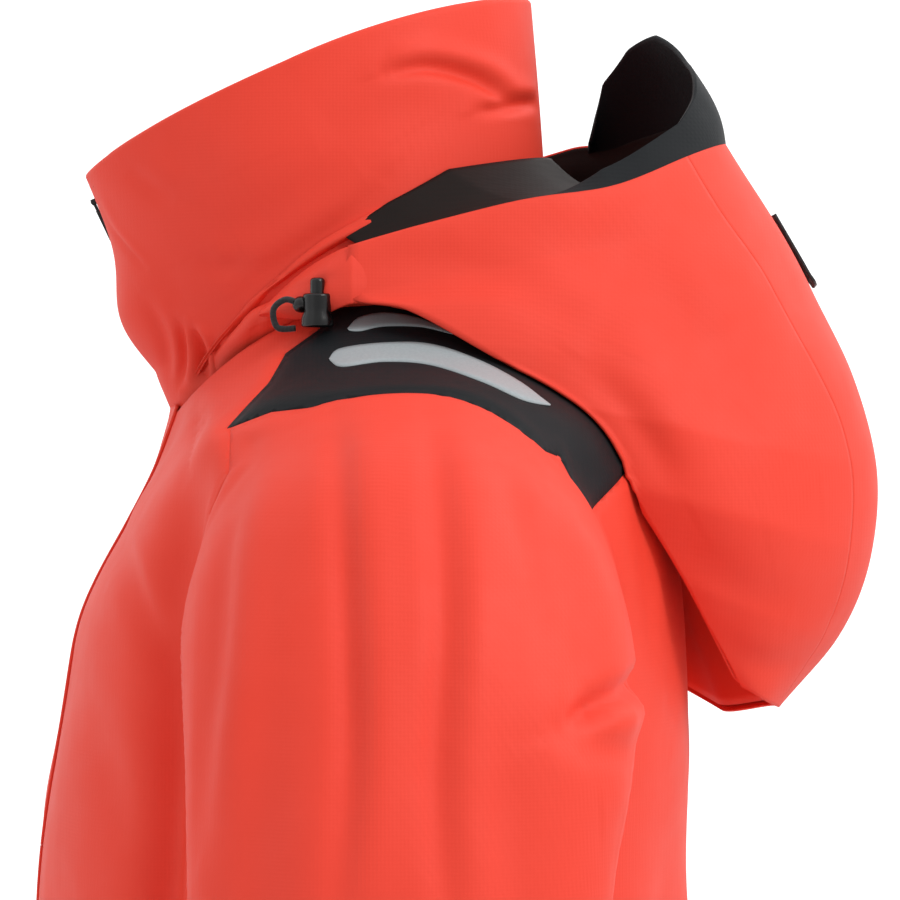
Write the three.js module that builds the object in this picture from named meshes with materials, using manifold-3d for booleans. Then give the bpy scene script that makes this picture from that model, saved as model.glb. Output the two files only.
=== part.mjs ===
// Foul weather jacket, hood hanging down the back, zipped to the top of the collar.
// Units are millimetres. The origin is the middle of the neck seam; +Z is up, the chest faces -Y
// and +X is the wearer's left.
import * as THREE from "three";
import { mergeVertices } from "three/addons/utils/BufferGeometryUtils.js";
import Module from "manifold-3d";

const wasm = await Module();
wasm.setup();

// ---- driving dimensions -------------------------------------------------------------------
const NECK_HALF = 98; // half width of the neck seam
const SHOULDER_HALF = 222; // centre line to the shoulder point
const CHEST_HALF = 225; // half width of the body
const CHEST_FRONT = 177; // centre line to the chest
const CHEST_BACK = 167; // centre line to the back
const BODY_LENGTH = 740; // neck seam down to the hem
const COLLAR_HALF = 102; // half width of the collar's top edge
const COLLAR_FRONT_TOP = [-151, 64]; // y, z of the collar's top at the zip
const COLLAR_BACK_TOP = [85, 156]; // y, z of the collar's top behind the head
const COLLAR_CROWN = 24; // how far the collar's top edge rises beside the head
const ARMHOLE_Y = 12; // centre of the armhole, front to back
const ARMHOLE_Z = -165; // centre of the armhole, below the neck seam
const ARMHOLE_R = 112.3; // armhole edge
const ARMHOLE_GAP = 2; // sleeve head to armhole edge
const SLEEVE_DROP = 475; // armhole centre down to the wrist
const WRIST_HALF = 52; // half width of the sleeve at the wrist
const HOOD_HALF = 150; // half width of the hood where it lies on the shoulders
const HOOD_DROP = 218; // neck seam down to the lowest point of the hood
const BRIM_HEIGHT = 66; // depth of the brim at its middle
const ZIP_EDGE = 11; // shell edge to the middle of the zip
const POCKET_TOP_Z = -322;
const POCKET_LENGTH = 160;
const POCKET_TOP_X = 187;
const POCKET_LOW_X = 203;
const CUFF_TAB_LEAN = 2; // degrees the wrist strap leans to follow the sleeve

// ---- layers through the body, measured outwards from the face of the shell ------------------
const SHELL = [0, -2.2];
const TAPE = [-3.4, -4.6];
const POCKET_BAG = [-11, -12.2];
const BODY_LINING = [-15, -16.2];
const INNER_FLAP = [-8.4, -9.6];
const HEM_FACING = [-5.4, -6.6];
const COLLAR_LINING = [-3, -6];
const STORM_FLAP = [3.4, 1.6];
const FLAP_LOOP = [1, 0.3];
const ON_YOKE = [2, 1];
const HOOD_ROLL = [5.6, 2.8];
const HOOD_SHELL = [0, -2];
const HOOD_LINING = [-5.8, -7];
const SLEEVE_LINING = [-5.4, -6.6];
const CUFF = [-2.9, -4.1];
const SEAM = 0.35; // degrees left open at each seam of the body

// ---- looks ----------------------------------------------------------------------------------
const look = (color, roughness, metalness = 0) =>
  new THREE.MeshStandardMaterial({ color, roughness, metalness });
const CORAL = look(0xf05a48, 0.62);
const CHARCOAL = look(0x2a2d31, 0.7);
const LINING = look(0x1e1c1a, 0.85);
const FLEECE = look(0x24221f, 0.95);
const SILVER = look(0xa3abb0, 0.4);
const BLACK = look(0x15161a, 0.35);
const WEBBING = look(0x1a1b1d, 0.8);

const jacket = new THREE.Group();

const add = (name, geometry, material) => {
  const mesh = new THREE.Mesh(geometry, material);
  mesh.name = name;
  jacket.add(mesh);
  return mesh;
};

// ---- small maths ----------------------------------------------------------------------------
const DEG = Math.PI / 180;
const lerp = THREE.MathUtils.lerp;
const clamp = THREE.MathUtils.clamp;
const vec = (x, y, z) => new THREE.Vector3(x, y, z);
const power = (value, exponent) => Math.sign(value) * Math.abs(value) ** exponent;

// A smooth rail through [a, b] pairs, read by the number of the pair.
const rail = (pairs) => {
  const points = pairs.map(([a, b]) => vec(a, b, 0));
  const curve = new THREE.CatmullRomCurve3(points, false, "centripetal");
  return (t) => curve.getPoint(clamp(t / (pairs.length - 1), 0, 1));
};

// A straight-line rail through the same kind of pairs.
const steps = (values) => (t) => {
  const k = clamp(Math.floor(t), 0, values.length - 2);
  return lerp(values[k], values[k + 1], clamp(t - k, 0, 1));
};

// ---- solids from surfaces -------------------------------------------------------------------
const normalAt = (surface, u, v) => {
  const d = 0.004;
  const du = surface(Math.min(u + d, 1), v).sub(surface(Math.max(u - d, 0), v));
  const dv = surface(u, Math.min(v + d, 1)).sub(surface(u, Math.max(v - d, 0)));
  return du.cross(dv).normalize();
};

// A panel: the surface over 0..1 by 0..1, thickened between two offsets along its normal.
const panel = (surface, nu, nv, [outer, inner]) => {
  const box = new THREE.BoxGeometry(1, 1, 1, nu, nv, 1);
  const position = box.attributes.position;
  for (let i = 0; i < position.count; i += 1) {
    const u = clamp(position.getX(i) + 0.5, 0, 1);
    const v = clamp(position.getY(i) + 0.5, 0, 1);
    const offset = position.getZ(i) > 0 ? outer : inner;
    const amount = typeof offset === "function" ? offset(u, v) : offset;
    const point = surface(u, v).addScaledVector(normalAt(surface, u, v), amount);
    position.setXYZ(i, point.x, point.y, point.z);
  }
  return welded(box);
};

// A tube: the surface closes on itself in u, and is thickened between two offsets.
const tube = (surface, nu, nv, [outer, inner]) => {
  const points = [];
  const faces = [];
  const normal = (u, v) => {
    const d = 0.004;
    const du = surface(u + d, v).sub(surface(u - d, v));
    const dv = surface(u, Math.min(v + d, 1)).sub(surface(u, Math.max(v - d, 0)));
    return du.cross(dv).normalize();
  };
  for (const offset of [outer, inner]) {
    for (let j = 0; j <= nv; j += 1) {
      for (let i = 0; i < nu; i += 1) {
        const u = i / nu;
        const v = j / nv;
        const point = surface(u, v).addScaledVector(normal(u, v), offset);
        points.push(point.x, point.y, point.z);
      }
    }
  }
  const at = (side, i, j) => side * nu * (nv + 1) + j * nu + (i % nu);
  const quad = (a, b, c, d) => faces.push(a, b, c, a, c, d);
  for (let i = 0; i < nu; i += 1) {
    for (let j = 0; j < nv; j += 1) {
      quad(at(0, i, j), at(0, i + 1, j), at(0, i + 1, j + 1), at(0, i, j + 1));
      quad(at(1, i, j), at(1, i, j + 1), at(1, i + 1, j + 1), at(1, i + 1, j));
    }
    quad(at(0, i, 0), at(1, i, 0), at(1, i + 1, 0), at(0, i + 1, 0));
    quad(at(0, i, nv), at(0, i + 1, nv), at(1, i + 1, nv), at(1, i, nv));
  }
  return fromArrays(points, faces);
};

const fromArrays = (points, faces) => {
  const geometry = new THREE.BufferGeometry();
  geometry.setAttribute("position", new THREE.Float32BufferAttribute(points, 3));
  geometry.setIndex(faces);
  return geometry;
};

const welded = (geometry) => {
  const plain = new THREE.BufferGeometry();
  plain.setAttribute("position", geometry.attributes.position);
  plain.setIndex(geometry.index ? Array.from(geometry.index.array) : null);
  return mergeVertices(plain, 0.001);
};

const mirrored = (geometry) => {
  const copy = geometry.clone();
  copy.scale(-1, 1, 1);
  const index = Array.from(copy.index.array);
  for (let i = 0; i < index.length; i += 3) {
    const first = index[i];
    index[i] = index[i + 1];
    index[i + 1] = first;
  }
  copy.setIndex(index);
  return copy;
};

const toSolid = (geometry) =>
  new wasm.Manifold(
    new wasm.Mesh({
      numProp: 3,
      vertProperties: new Float32Array(geometry.attributes.position.array),
      triVerts: new Uint32Array(geometry.index.array),
    }),
  );

const fromSolid = (solid) => {
  const mesh = solid.getMesh();
  return welded(fromArrays(Array.from(mesh.vertProperties), Array.from(mesh.triVerts)));
};

const minus = (geometry, ...cutters) =>
  fromSolid(cutters.reduce((solid, cutter) => solid.subtract(toSolid(cutter)), toSolid(geometry)));

const joined = (first, ...others) =>
  fromSolid(others.reduce((solid, other) => solid.add(toSolid(other)), toSolid(first)));

const block = (x0, x1, y0, y1, z0, z1) => {
  const geometry = new THREE.BoxGeometry(x1 - x0, y1 - y0, z1 - z0);
  geometry.translate((x0 + x1) / 2, (y0 + y1) / 2, (z0 + z1) / 2);
  return welded(geometry);
};

// ---- the body surface -----------------------------------------------------------------------
// Nine rings from the neck seam to the hem; theta 0 is the wearer's left, 90 the spine, -90 the zip.
const frontRail = rail([
  [-95, -53],
  [-0.667 * CHEST_FRONT, -95],
  [-0.763 * CHEST_FRONT, -127],
  [-0.847 * CHEST_FRONT, -165],
  [-0.927 * CHEST_FRONT, -190],
  [-CHEST_FRONT, -280],
  [-1.006 * CHEST_FRONT, -0.54 * BODY_LENGTH],
  [-0.994 * CHEST_FRONT, -0.757 * BODY_LENGTH],
  [-0.96 * CHEST_FRONT, -BODY_LENGTH],
]);
const sideRail = rail([
  [NECK_HALF, -5],
  [lerp(NECK_HALF, SHOULDER_HALF, 0.54), -33],
  [SHOULDER_HALF, -55],
  [CHEST_HALF, -110],
  [CHEST_HALF, -165],
  [CHEST_HALF, -270],
  [CHEST_HALF - 1, -0.54 * BODY_LENGTH],
  [CHEST_HALF - 2, -0.757 * BODY_LENGTH],
  [CHEST_HALF - 3, -BODY_LENGTH],
]);
const backRail = rail([
  [95, 10],
  [0.719 * CHEST_BACK, -40],
  [0.868 * CHEST_BACK, -85],
  [0.958 * CHEST_BACK, -135],
  [0.988 * CHEST_BACK, -180],
  [CHEST_BACK, -280],
  [1.006 * CHEST_BACK, -0.54 * BODY_LENGTH],
  [1.018 * CHEST_BACK, -0.757 * BODY_LENGTH],
  [0.988 * CHEST_BACK, -BODY_LENGTH],
]);
const squareness = steps([2, 2.2, 2.4, 2.6, 2.6, 2.5, 2.5, 2.5, 2.5]);

const body = (theta, t) => {
  const side = sideRail(t);
  const front = frontRail(t);
  const back = backRail(t);
  const n = squareness(t);
  const s = Math.sin(theta * DEG);
  const c = Math.cos(theta * DEG);
  const end = s < 0 ? front : back;
  const x = side.x * power(c, 2 / n);
  const y = (front.x + back.x) / 2 + ((back.x - front.x) / 2) * power(s, 2 / n);
  return vec(x, y, lerp(side.y, end.y, s * s));
};

// The angle on the front at which a ring is x from the middle.
const frontAngle = (x, t) =>
  -Math.acos(clamp((Math.abs(x) / sideRail(t).x) ** (squareness(t) / 2), 0, 1)) / DEG;

// A point on the front by its distance from the middle.
const front = (x, t) => {
  const point = body(frontAngle(x, t), t);
  point.x = x;
  return point;
};

// The ring number at which the front, x from the middle, is at height z.
const ringAt = (z, x = 0) => {
  let low = 0;
  let high = 8;
  for (let k = 0; k < 30; k += 1) {
    const middle = (low + high) / 2;
    if (front(x, middle).z > z) low = middle;
    else high = middle;
  }
  return low;
};

const armhole = (side) => {
  const cutter = new THREE.CylinderGeometry(ARMHOLE_R, ARMHOLE_R, 140, 40);
  cutter.rotateZ(Math.PI / 2);
  cutter.translate(side * (CHEST_HALF + 5), ARMHOLE_Y, ARMHOLE_Z);
  return welded(cutter);
};

// Where the shoulder yoke ends, as a ring number, over the back.
const yokeEnd = (theta) => {
  const fold = Math.min(theta, 180 - theta);
  return fold < 33 ? 2.55 : lerp(2.55, 1.2, (fold - 33) / 57);
};
const YOKE_FRONT = -22;
const frontPanelEdge = steps([-22.7, -22.7, -22.7, -22.7, -12, -SEAM, -SEAM, -SEAM, -SEAM]);

const frontPanel = panel(
  (u, v) => {
    const t = 8 * (1 - v);
    return body(lerp(frontAngle(ZIP_EDGE, t), frontPanelEdge(t), u), t);
  },
  12,
  16,
  SHELL,
);

const backPanel = panel(
  (u, v) => {
    const theta = lerp(SEAM, 180 - SEAM, u);
    return body(theta, lerp(8, yokeEnd(theta) + 0.08, v));
  },
  18,
  9,
  SHELL,
);

const yoke = panel(
  (u, v) => {
    const theta = lerp(YOKE_FRONT, 90 - SEAM, u);
    return body(theta, yokeEnd(theta) * (1 - v));
  },
  12,
  6,
  SHELL,
);

// ---- pockets, set in a frame that runs down the pocket's opening ------------------------------
const pocketTop = front(POCKET_TOP_X, ringAt(POCKET_TOP_Z, POCKET_TOP_X));
const POCKET_LOW_Z = POCKET_TOP_Z - POCKET_LENGTH;
const pocketLow = front(POCKET_LOW_X, ringAt(POCKET_LOW_Z, POCKET_LOW_X));
const pocketDown = pocketLow.clone().sub(pocketTop).normalize();
const pocketOut = vec(0.75, -0.66, 0).cross(pocketDown).cross(pocketDown).negate().normalize();
const pocketAcross = pocketDown.clone().cross(pocketOut).negate();
const pocketFrame = new THREE.Matrix4()
  .makeBasis(pocketAcross, pocketOut, pocketDown)
  .setPosition(pocketTop);
const inPocket = (geometry) => geometry.applyMatrix4(pocketFrame);
const openingLength = pocketLow.distanceTo(pocketTop);

const SLOT_HALF = 5.2;
const POCKET_ZIP_DEPTH = 4.7;
const pocketSlot = () =>
  inPocket(block(-SLOT_HALF, SLOT_HALF, -14, 14, 0, openingLength));

add("front_panel_left", minus(frontPanel, armhole(1), pocketSlot()), CORAL);
add("front_panel_right", mirrored(minus(frontPanel, armhole(1), pocketSlot())), CORAL);
add("back_panel", minus(backPanel, armhole(1), armhole(-1)), CORAL);
add("yoke_left", minus(yoke, armhole(1)), CHARCOAL);
add("yoke_right", mirrored(minus(yoke, armhole(1))), CHARCOAL);

// Open on the shell side, the slot in each pocket's zip lets its slider run.
const pocketZip = minus(
  inPocket(block(-10, 10, -6.4, -5.2, -5, openingLength + 5)),
  inPocket(block(-1.2, 1.2, -8, 0, 1, openingLength - 2)),
);
const pocketWelt = inPocket(block(SLOT_HALF + 1, SLOT_HALF + 15, 0.9, 2.1, -4, openingLength + 4));
const pocketBag = panel(
  (u, v) => front(lerp(110, 212, u), lerp(7.1, 5.3, v)),
  8,
  4,
  POCKET_BAG,
);
add("pocket_zip_left", pocketZip, BLACK);
add("pocket_zip_right", mirrored(pocketZip), BLACK);
add("pocket_welt_left", pocketWelt, CORAL);
add("pocket_welt_right", mirrored(pocketWelt), CORAL);
add("pocket_bag_left", pocketBag, LINING);
add("pocket_bag_right", mirrored(pocketBag), LINING);

// ---- linings --------------------------------------------------------------------------------
const LINING_EDGE = 27;
const bodyLining = panel(
  (u, v) => {
    const t = lerp(7.6, 0.15, v);
    const edge = frontAngle(LINING_EDGE, t);
    return body(lerp(edge, 180 - edge, u), t);
  },
  30,
  8,
  BODY_LINING,
);
add("body_lining", minus(bodyLining, armhole(1), armhole(-1)), LINING);

const hemFacing = panel(
  (u, v) => {
    const t = lerp(7.97, 7.7, v);
    const edge = frontAngle(LINING_EDGE, t);
    return body(lerp(edge, 180 - edge, u), t);
  },
  30,
  1,
  HEM_FACING,
);
add("hem_facing", hemFacing, CHARCOAL);

// ---- reflective stripes on the yoke -----------------------------------------------------------
const LOWER_STRIPE = { from: -12, to: 43, ring: 0.75, sweep: 0.62, half: 0.15 };
const UPPER_STRIPE = { from: -8, to: 24, ring: 0.24, sweep: 0.12, half: 0.09 };

const stripe = ({ from, to, ring, sweep, half }) =>
  panel(
    (u, v) => {
      const taper = Math.min(1, 0.25 + 6 * u, 0.12 + 2.2 * (1 - u));
      return body(lerp(from, to, u), ring + sweep * u * u + half * taper * (1 - 2 * v));
    },
    11,
    1,
    ON_YOKE,
  );
add("reflector_lower_left", stripe(LOWER_STRIPE), SILVER);
add("reflector_lower_right", mirrored(stripe(LOWER_STRIPE)), SILVER);
add("reflector_upper_left", stripe(UPPER_STRIPE), SILVER);
add("reflector_upper_right", mirrored(stripe(UPPER_STRIPE)), SILVER);

// ---- collar ---------------------------------------------------------------------------------
// Height 0 is the neck seam and 1 the collar's top edge; the line at the zip is straight.
const collar = (theta, height) => {
  const s = Math.sin(theta * DEG);
  const c = Math.cos(theta * DEG);
  const [frontY, frontZ] = COLLAR_FRONT_TOP;
  const [backY, backZ] = COLLAR_BACK_TOP;
  const top = vec(
    COLLAR_HALF * c,
    (frontY + backY) / 2 + ((backY - frontY) / 2) * s,
    (frontZ + backZ) / 2 + ((backZ - frontZ) / 2) * s + COLLAR_CROWN * c * c,
  );
  return body(theta, 0).lerp(top, height);
};
const collarAngle = (x) => -Math.acos(x / NECK_HALF) / DEG;

const collarOuter = panel(
  (u, v) => collar(lerp(collarAngle(ZIP_EDGE), 90 - SEAM, u), lerp(0.014, 1, v)),
  16,
  4,
  SHELL,
);
add("collar_outer_left", collarOuter, CORAL);
add("collar_outer_right", mirrored(collarOuter), CORAL);

const collarLining = panel(
  (u, v) => {
    const edge = collarAngle(LINING_EDGE + 1);
    return collar(lerp(edge, 180 - edge, u), lerp(0.03, 0.985, v));
  },
  26,
  3,
  COLLAR_LINING,
);
add("collar_lining", collarLining, FLEECE);

// The band the hood is sewn to, wrapped round the foot of the collar.
const ROLL_FRONT = -46;
const hoodRoll = panel(
  (u, v) => {
    const theta = lerp(ROLL_FRONT, 180 - ROLL_FRONT, u);
    const reach = Math.sin(Math.min(1, 6 * u, 6 * (1 - u)) * 90 * DEG);
    return collar(theta, lerp(0.035, 0.16 + 0.14 * reach, v));
  },
  26,
  2,
  HOOD_ROLL,
);
add("hood_roll", hoodRoll, CORAL);

// A strap behind the neck to hang the jacket by; its lower face lies on the hook.
const HANGER_HALF = 34;
const hangerShape = new THREE.Shape();
hangerShape.moveTo(-HANGER_HALF, 80.5);
hangerShape.lineTo(-HANGER_HALF + 9, 82);
hangerShape.lineTo(-14, 69);
hangerShape.lineTo(14, 69);
hangerShape.lineTo(HANGER_HALF - 9, 82);
hangerShape.lineTo(HANGER_HALF, 80.5);
hangerShape.lineTo(HANGER_HALF, 78.5);
hangerShape.lineTo(HANGER_HALF - 9.5, 80);
hangerShape.lineTo(14.5, 67);
hangerShape.lineTo(-14.5, 67);
hangerShape.lineTo(-HANGER_HALF + 9.5, 80);
hangerShape.lineTo(-HANGER_HALF, 78.5);
const hanger = new THREE.ExtrudeGeometry(hangerShape, { depth: 8, bevelEnabled: false });
hanger.translate(0, 0, 22);
add("hanger_loop", welded(hanger), WEBBING);

// ---- main zip -------------------------------------------------------------------------------
const ZIP_TOP = 0.95;
const zipColumns = steps([1.2, 3.4, 3.8, 24]);
const zipLine = (x, w) => {
  if (w < 1) {
    const point = collar(-Math.acos(clamp(x / NECK_HALF, -1, 1)) / DEG, ZIP_TOP * (1 - w));
    point.x = x;
    return point;
  }
  return front(x, w - 1);
};
const ZIP_COLLAR_ROWS = 2;
const ZIP_BODY_ROWS = 16;
const ZIP_ROWS = ZIP_COLLAR_ROWS + ZIP_BODY_ROWS;
const zipRow = (row) =>
  row < ZIP_COLLAR_ROWS ? row / ZIP_COLLAR_ROWS : 1 + (row - ZIP_COLLAR_ROWS) / 2;
const zipHalf = panel(
  (u, v) => zipLine(zipColumns(3 * u), zipRow(ZIP_ROWS * (1 - v))),
  3,
  ZIP_ROWS,
  [(u) => (u < 0.4 ? -2.6 : TAPE[0]), (u) => (u < 0.4 ? -5.4 : TAPE[1])],
);
add("main_zip_left", zipHalf, BLACK);
add("main_zip_right", mirrored(zipHalf), BLACK);

const innerFlap = panel(
  (u, v) => front(lerp(-23, 23, u), lerp(7.8, 0.35, v)),
  2,
  12,
  INNER_FLAP,
);
add("inner_storm_flap", innerFlap, CHARCOAL);

// ---- storm flap, sewn on the left and lapped to the right ---------------------------------------
const FLAP_HINGE_X = 32;
const FLAP_FREE_X = -35;
const FLAP_SPLIT_Z = -286;
const FLAP_HINGE_Y = -CHEST_FRONT - 3.4;
const flapPanel = (low, high, rows) =>
  panel((u, v) => front(lerp(FLAP_FREE_X, FLAP_HINGE_X, u), lerp(low, high, v)), 4, rows, STORM_FLAP);
add("storm_flap_upper", flapPanel(ringAt(FLAP_SPLIT_Z + 3), 0.4, 9), CORAL);
add("storm_flap_lower", flapPanel(7.95, ringAt(FLAP_SPLIT_Z - 3), 5), CORAL);
const flapLoop = panel(
  (u, v) => front(lerp(-31, -16, u), lerp(7.7, ringAt(FLAP_SPLIT_Z - 20), v)),
  1,
  5,
  FLAP_LOOP,
);
add("flap_loop_strip", flapLoop, WEBBING);

// ---- zip sliders ------------------------------------------------------------------------------
// Built lying along -Z with the outside towards -Y: the pull's pin is at the origin.
const PIN_OUT = 3.9; // pin above the outer face of the teeth
const sliderBody = () => {
  const teeth = PIN_OUT;
  const plate = block(-4.6, 4.6, teeth - 2, teeth - 0.5, -9, 4);
  const neck = block(-0.7, 0.7, teeth - 0.6, teeth + 3.3, -4, 4);
  const under = block(-4.6, 4.6, teeth + 3.2, teeth + 4.4, -9, 4);
  const lugLeft = block(2.3, 3.6, -1.2, teeth - 1.9, -1.4, 1.4);
  const lugRight = block(-3.6, -2.3, -1.2, teeth - 1.9, -1.4, 1.4);
  const pin = new THREE.CylinderGeometry(0.6, 0.6, 5.2, 12);
  pin.rotateZ(Math.PI / 2);
  return joined(plate, neck, under, lugLeft, lugRight, welded(pin));
};
const PULL_LENGTH = 27;
const pullTab = () => {
  const eye = new THREE.CylinderGeometry(1.6, 1.6, 3.4, 20);
  eye.rotateZ(Math.PI / 2);
  const bore = new THREE.CylinderGeometry(0.95, 0.95, 8, 16);
  bore.rotateZ(Math.PI / 2);
  const stem = block(-1.7, 1.7, -0.8, 0.8, -6, -1.2);
  const tab = block(-3.2, 3.2, -1, 1, -PULL_LENGTH, -5);
  return minus(joined(welded(eye), stem, tab), welded(bore));
};

const MAIN_SLIDER_HEIGHT = 0.9;
const zipHead = collar(-90, MAIN_SLIDER_HEIGHT);
const zipFoot = collar(-90, 0);
const zipLean = Math.atan2(zipFoot.y - zipHead.y, zipHead.z - zipFoot.z);
const TEETH_DEPTH = 2.6;
const onCollar = (geometry) => {
  geometry.translate(0, TEETH_DEPTH - PIN_OUT, 0);
  geometry.rotateX(zipLean);
  geometry.translate(zipHead.x, zipHead.y, zipHead.z);
  return geometry;
};
add("main_zip_slider", onCollar(sliderBody()), BLACK);
add("main_zip_pull", onCollar(pullTab()), WEBBING);

const turnToPocket = new THREE.Matrix4()
  .makeBasis(
    pocketAcross,
    pocketOut.clone().negate(),
    pocketDown.clone().negate(),
  )
  .setPosition(pocketTop.clone().addScaledVector(pocketDown, 8));
const onPocket = (geometry) => {
  geometry.translate(0, POCKET_ZIP_DEPTH - PIN_OUT, 0);
  return geometry.applyMatrix4(turnToPocket);
};
const pocketSlider = onPocket(sliderBody());
const pocketPull = onPocket(pullTab());
add("pocket_slider_left", pocketSlider, BLACK);
add("pocket_slider_right", mirrored(pocketSlider), BLACK);
add("pocket_pull_left", pocketPull, WEBBING);
add("pocket_pull_right", mirrored(pocketPull), WEBBING);

// ---- sleeves --------------------------------------------------------------------------------
// Each ring is given by its top and its underarm point in x and z, by its middle in y, and by its
// half depth front to back.
const wristZ = ARMHOLE_Z - SLEEVE_DROP;
const sleeveHeadR = ARMHOLE_R - ARMHOLE_GAP;
const HEAD_IN = CHEST_HALF - 23;
const HEAD_OUT = CHEST_HALF + 5;
const along = (f) => ARMHOLE_Z - f * SLEEVE_DROP;
const topPoints = [
  [HEAD_OUT, ARMHOLE_Z + sleeveHeadR],
  [CHEST_HALF + 62, along(-0.168)],
  [CHEST_HALF + 115, along(-0.01)],
  [CHEST_HALF + 142, along(0.18)],
  [CHEST_HALF + 157, along(0.37)],
  [CHEST_HALF + 168, along(0.57)],
  [CHEST_HALF + 177, along(0.79)],
  [CHEST_HALF + 87 + 2 * WRIST_HALF, wristZ],
];
const underPoints = [
  [HEAD_OUT, ARMHOLE_Z - sleeveHeadR],
  [CHEST_HALF + 11, along(0.253)],
  [CHEST_HALF + 18, along(0.295)],
  [CHEST_HALF + 27, along(0.365)],
  [CHEST_HALF + 38, along(0.46)],
  [CHEST_HALF + 52, along(0.6)],
  [CHEST_HALF + 70, along(0.79)],
  [CHEST_HALF + 87, wristZ],
];
const topRail = rail(topPoints);
const underRail = rail(underPoints);
const middleY = steps([12, 13, 13, 12, 11, 10, 9, 8].map((y) => y + ARMHOLE_Y - 12));
const halfDepth = steps([sleeveHeadR, 110, 108, 104, 98, 90, 78, 66]);

const sleeve = (phi, t) => {
  const r = t < 0 ? 0 : t;
  const top = topRail(r);
  const under = underRail(r);
  const s = Math.sin(phi * DEG);
  const c = Math.cos(phi * DEG);
  const x = lerp(under.x, top.x, (1 + c) / 2) + Math.min(t, 0) * (HEAD_OUT - HEAD_IN);
  const z = lerp(under.y, top.y, (1 + c) / 2);
  return vec(x, middleY(r) + halfDepth(r) * s, z);
};
const SLEEVE_RINGS = 7;
const SLEEVE_ROWS = 12;
// Rows run from the wrist up to the head, at -1.
const sleeveRow = (v) => lerp(SLEEVE_RINGS, -1, v);

const sleeveHalf = (from, to) =>
  panel((u, v) => sleeve(lerp(from, to, u), sleeveRow(v)), 10, SLEEVE_ROWS, SHELL);
const sleeveOuter = sleeveHalf(-89.6, 89.6);
const sleeveUnder = sleeveHalf(90.4, 269.6);
const sleeveLining = tube(
  (u, v) => sleeve(360 * u, lerp(SLEEVE_RINGS - 0.3, -0.85, v)),
  18,
  9,
  SLEEVE_LINING,
);
add("sleeve_outer_left", sleeveOuter, CORAL);
add("sleeve_outer_right", mirrored(sleeveOuter), CORAL);
add("sleeve_under_left", sleeveUnder, CORAL);
add("sleeve_under_right", mirrored(sleeveUnder), CORAL);
add("sleeve_lining_left", sleeveLining, LINING);
add("sleeve_lining_right", mirrored(sleeveLining), LINING);

// The inner cuff reaches just past the wrist.
const CUFF_REACH = 14;
const cuff = tube(
  (u, v) => {
    const point = sleeve(360 * u, SLEEVE_RINGS - 0.6 * Math.max(0, (3 * v - 1) / 2));
    point.z -= CUFF_REACH * Math.max(0, 1 - 3 * v);
    return point;
  },
  20,
  3,
  CUFF,
);
add("inner_cuff_left", cuff, BLACK);
add("inner_cuff_right", mirrored(cuff), BLACK);

// A strap on the outside of the wrist, hinged along its rear end, that closes on hook and loop.
const tabTop = sleeve(0, SLEEVE_RINGS - 0.42);
const TAB_LENGTH = 66;
const TAB_DEPTH = 32;
const TAB_REAR_Y = 30;
const cuffTab = block(0, 2.2, TAB_REAR_Y - TAB_LENGTH, TAB_REAR_Y, -TAB_DEPTH, 0);
cuffTab.rotateY(CUFF_TAB_LEAN * DEG);
cuffTab.translate(tabTop.x + 6.6, tabTop.y, tabTop.z);
add("cuff_tab_left", cuffTab, CHARCOAL);
add("cuff_tab_right", mirrored(cuffTab), CHARCOAL);

// ---- hood -----------------------------------------------------------------------------------
// Level 0 is the edge of the face opening and 1 the lowest point; phi runs 0..180 from the left
// cheek round the back of the head to the right cheek. Each level runs from a cheek point on the
// front to a point on the rear.
const cheekRail = rail([
  [-13, 26],
  [-13, 4],
  [15, 2],
  [58, -18],
  [100, -42],
  [136, -82],
  [166, -130],
  [192, -190],
]);
const rearRail = rail([
  [188, 82],
  [209, 45],
  [232, 5],
  [254, -40],
  [268, -90],
  [263, -135],
  [244, -180],
  [214, -HOOD_DROP],
]);
const hoodHalf = steps([-23, -17, -8, 0, 6, 2, -18, -54].map((more) => HOOD_HALF + more));
const HOOD_SQUARE = 2.5;
const HOOD_LEVELS = 7;

const hood = (phi, level) => {
  const t = level * HOOD_LEVELS;
  const cheek = cheekRail(t);
  const rear = rearRail(t);
  const reach = Math.max(Math.sin(phi * DEG), 0) ** (2 / HOOD_SQUARE);
  const x = hoodHalf(t) * power(Math.cos(phi * DEG), 2 / HOOD_SQUARE);
  return vec(x, lerp(cheek.x, rear.x, reach), lerp(cheek.y, rear.y, reach));
};
const HOOD_LOW = 0.955;
const HOOD_SEAM = 58;
const hoodPanel = (from, to, columns, layer) =>
  panel((u, v) => hood(lerp(from, to, u), lerp(HOOD_LOW, 0, v)), columns, 8, layer);

add("hood_side_left", hoodPanel(0.5, HOOD_SEAM - 0.3, 6, HOOD_SHELL), CORAL);
add("hood_side_right", mirrored(hoodPanel(0.5, HOOD_SEAM - 0.3, 6, HOOD_SHELL)), CORAL);
add("hood_centre", hoodPanel(HOOD_SEAM, 180 - HOOD_SEAM, 8, HOOD_SHELL), CORAL);
add("hood_lining", hoodPanel(4, 176, 20, HOOD_LINING), LINING);

// The brim stands up from the rear of the opening.
const BRIM_FROM = 32;
const brim = panel(
  (u, v) => {
    const phi = lerp(BRIM_FROM, 180 - BRIM_FROM, u);
    const rise = 6 + (BRIM_HEIGHT - 6) * Math.sin(u * Math.PI) ** 1.5;
    const foot = hood(phi, 0);
    const x = foot.x * lerp(1, 0.9, v);
    return vec(x, foot.y - 0.57 * rise * v, foot.z + 2.4 + 0.82 * rise * v);
  },
  14,
  3,
  HOOD_SHELL,
);
add("hood_brim", brim, CHARCOAL);

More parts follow.
